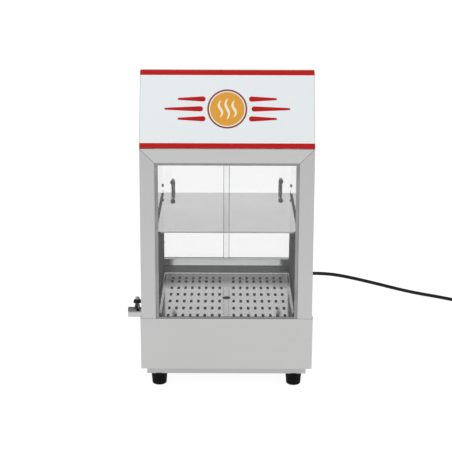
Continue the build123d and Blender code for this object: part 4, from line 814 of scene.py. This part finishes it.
def coil_tie():
    """Strap round the bundle of stored turns."""
    angle = math.radians(TIE_ANGLE)
    across = (math.cos(angle), math.sin(angle), 0.0)
    middle = (COIL_X + COIL_RADIUS * across[0], COIL_Y + COIL_RADIUS * across[1], 0.0)
    face = Face(middle, across, (0.0, 0.0, 1.0))
    half, high = CORD + TIE_THICKNESS, COIL_HIGH + CORD / 2 + TIE_THICKNESS
    outer = rectangle(-half, half, 0.0, high, 4.8, 4.8)
    inner = rectangle(-half + TIE_THICKNESS, half - TIE_THICKNESS, TIE_THICKNESS, high - TIE_THICKNESS, 4.0, 4.0)
    work = bmesh.new()
    add_ring(work, face, outer, inner, -TIE_WIDTH / 2, TIE_WIDTH / 2)
    made = finished("coil_tie", work, strap_black, sharp=40.0)
    return made


cord = supply_cord()
plug_moulding()
plug_blades()
coil_tie()


# ---- surroundings ----------------------------------------------------------------------------------------
FLOOR_GLOW, FLOOR_SHADE, FLOOR_COLOR = 0.91, 0.17, 0.82
WORLD_LIGHT, WORLD_SEEN, WORLD_OVERHEAD = 0.78, 1.0, 0.4


def largest(tree, first, second):
    node = tree.nodes.new("ShaderNodeMath")
    node.operation = "MAXIMUM"
    tree.links.new(first, node.inputs[0])
    tree.links.new(second, node.inputs[1])
    return node.outputs[0]


def mirrored_ray(tree):
    """1 for what metal and glass show."""
    path = tree.nodes.new("ShaderNodeLightPath")
    return largest(tree, path.outputs["Is Glossy Ray"], path.outputs["Is Transmission Ray"])


def seen_ray(tree):
    """1 for rays from the camera, and for what metal and glass show."""
    path = tree.nodes.new("ShaderNodeLightPath")
    return largest(tree, path.outputs["Is Camera Ray"], mirrored_ray(tree))


def make_floor():
    work = bmesh.new()
    bmesh.ops.create_grid(work, x_segments=1, y_segments=1, size=30.0)
    mesh = bpy.data.meshes.new("floor")
    work.to_mesh(mesh)
    work.free()
    floor = bpy.data.objects.new("floor", mesh)
    bpy.context.scene.collection.objects.link(floor)
    material = bpy.data.materials.new("pale_floor")
    material.use_nodes = True
    tree = material.node_tree
    main = tree.nodes["Principled BSDF"]
    main.inputs["Base Color"].default_value = (FLOOR_COLOR, FLOOR_COLOR, FLOOR_COLOR, 1.0)
    main.inputs["Roughness"].default_value = 0.9
    main.inputs["Specular IOR Level"].default_value = 0.0
    glow = tree.nodes.new("ShaderNodeEmission")
    glow.inputs["Strength"].default_value = FLOOR_GLOW
    half = tree.nodes.new("ShaderNodeBsdfDiffuse")
    half.inputs["Color"].default_value = (FLOOR_SHADE, FLOOR_SHADE, FLOOR_SHADE, 1.0)
    pair = tree.nodes.new("ShaderNodeAddShader")
    tree.links.new(glow.outputs[0], pair.inputs[0])
    tree.links.new(half.outputs[0], pair.inputs[1])
    mix = tree.nodes.new("ShaderNodeMixShader")
    tree.links.new(seen_ray(tree), mix.inputs["Fac"])
    tree.links.new(main.outputs[0], mix.inputs[1])
    tree.links.new(pair.outputs[0], mix.inputs[2])
    tree.links.new(mix.outputs[0], tree.nodes["Material Output"].inputs["Surface"])
    mesh.materials.append(material)


def make_world():
    """Even light; metal and glass show it white near the horizon and greyer overhead."""
    world = bpy.data.worlds.new("studio")
    bpy.context.scene.world = world
    world.use_nodes = True
    tree = world.node_tree
    lighting = tree.nodes["Background"]
    lighting.inputs["Color"].default_value = (1.0, 1.0, 1.0, 1.0)
    lighting.inputs["Strength"].default_value = WORLD_LIGHT
    backdrop = tree.nodes.new("ShaderNodeBackground")
    backdrop.inputs["Strength"].default_value = WORLD_SEEN
    reflected = tree.nodes.new("ShaderNodeBackground")
    direction = tree.nodes.new("ShaderNodeTexCoord")
    parts = tree.nodes.new("ShaderNodeSeparateXYZ")
    tree.links.new(direction.outputs["Generated"], parts.inputs[0])
    falling = tree.nodes.new("ShaderNodeMapRange")
    falling.interpolation_type = "SMOOTHSTEP"
    for socket, value in (("From Min", 0.2), ("From Max", 0.95), ("To Min", WORLD_SEEN), ("To Max", WORLD_OVERHEAD)):
        falling.inputs[socket].default_value = value
    tree.links.new(parts.outputs["Z"], falling.inputs["Value"])
    tree.links.new(falling.outputs["Result"], reflected.inputs["Strength"])
    first = tree.nodes.new("ShaderNodeMixShader")
    tree.links.new(mirrored_ray(tree), first.inputs["Fac"])
    tree.links.new(lighting.outputs[0], first.inputs[1])
    tree.links.new(reflected.outputs[0], first.inputs[2])
    path = tree.nodes.new("ShaderNodeLightPath")
    last = tree.nodes.new("ShaderNodeMixShader")
    tree.links.new(path.outputs["Is Camera Ray"], last.inputs["Fac"])
    tree.links.new(first.outputs[0], last.inputs[1])
    tree.links.new(backdrop.outputs[0], last.inputs[2])
    tree.links.new(last.outputs[0], tree.nodes["World Output"].inputs["Surface"])


def lamp(name, place, aim, size, power):
    data = bpy.data.lights.new(name, "AREA")
    data.shape = "SQUARE"
    data.size = size
    data.energy = power
    made = bpy.data.objects.new(name, data)
    made.location = place
    made.rotation_euler = (Vector(aim) - Vector(place)).to_track_quat("-Z", "Y").to_euler()
    bpy.context.scene.collection.objects.link(made)


make_floor()
make_world()
lamp("top_light", (0.3, -0.4, 3.4), (0.0, 0.0, 0.3), 4.4, 32.0)
lamp("front_light", (-2.0, -2.6, 1.8), (0.0, 0.0, 0.3), 2.0, 16.0)
bpy.context.scene.view_settings.view_transform = "Standard"
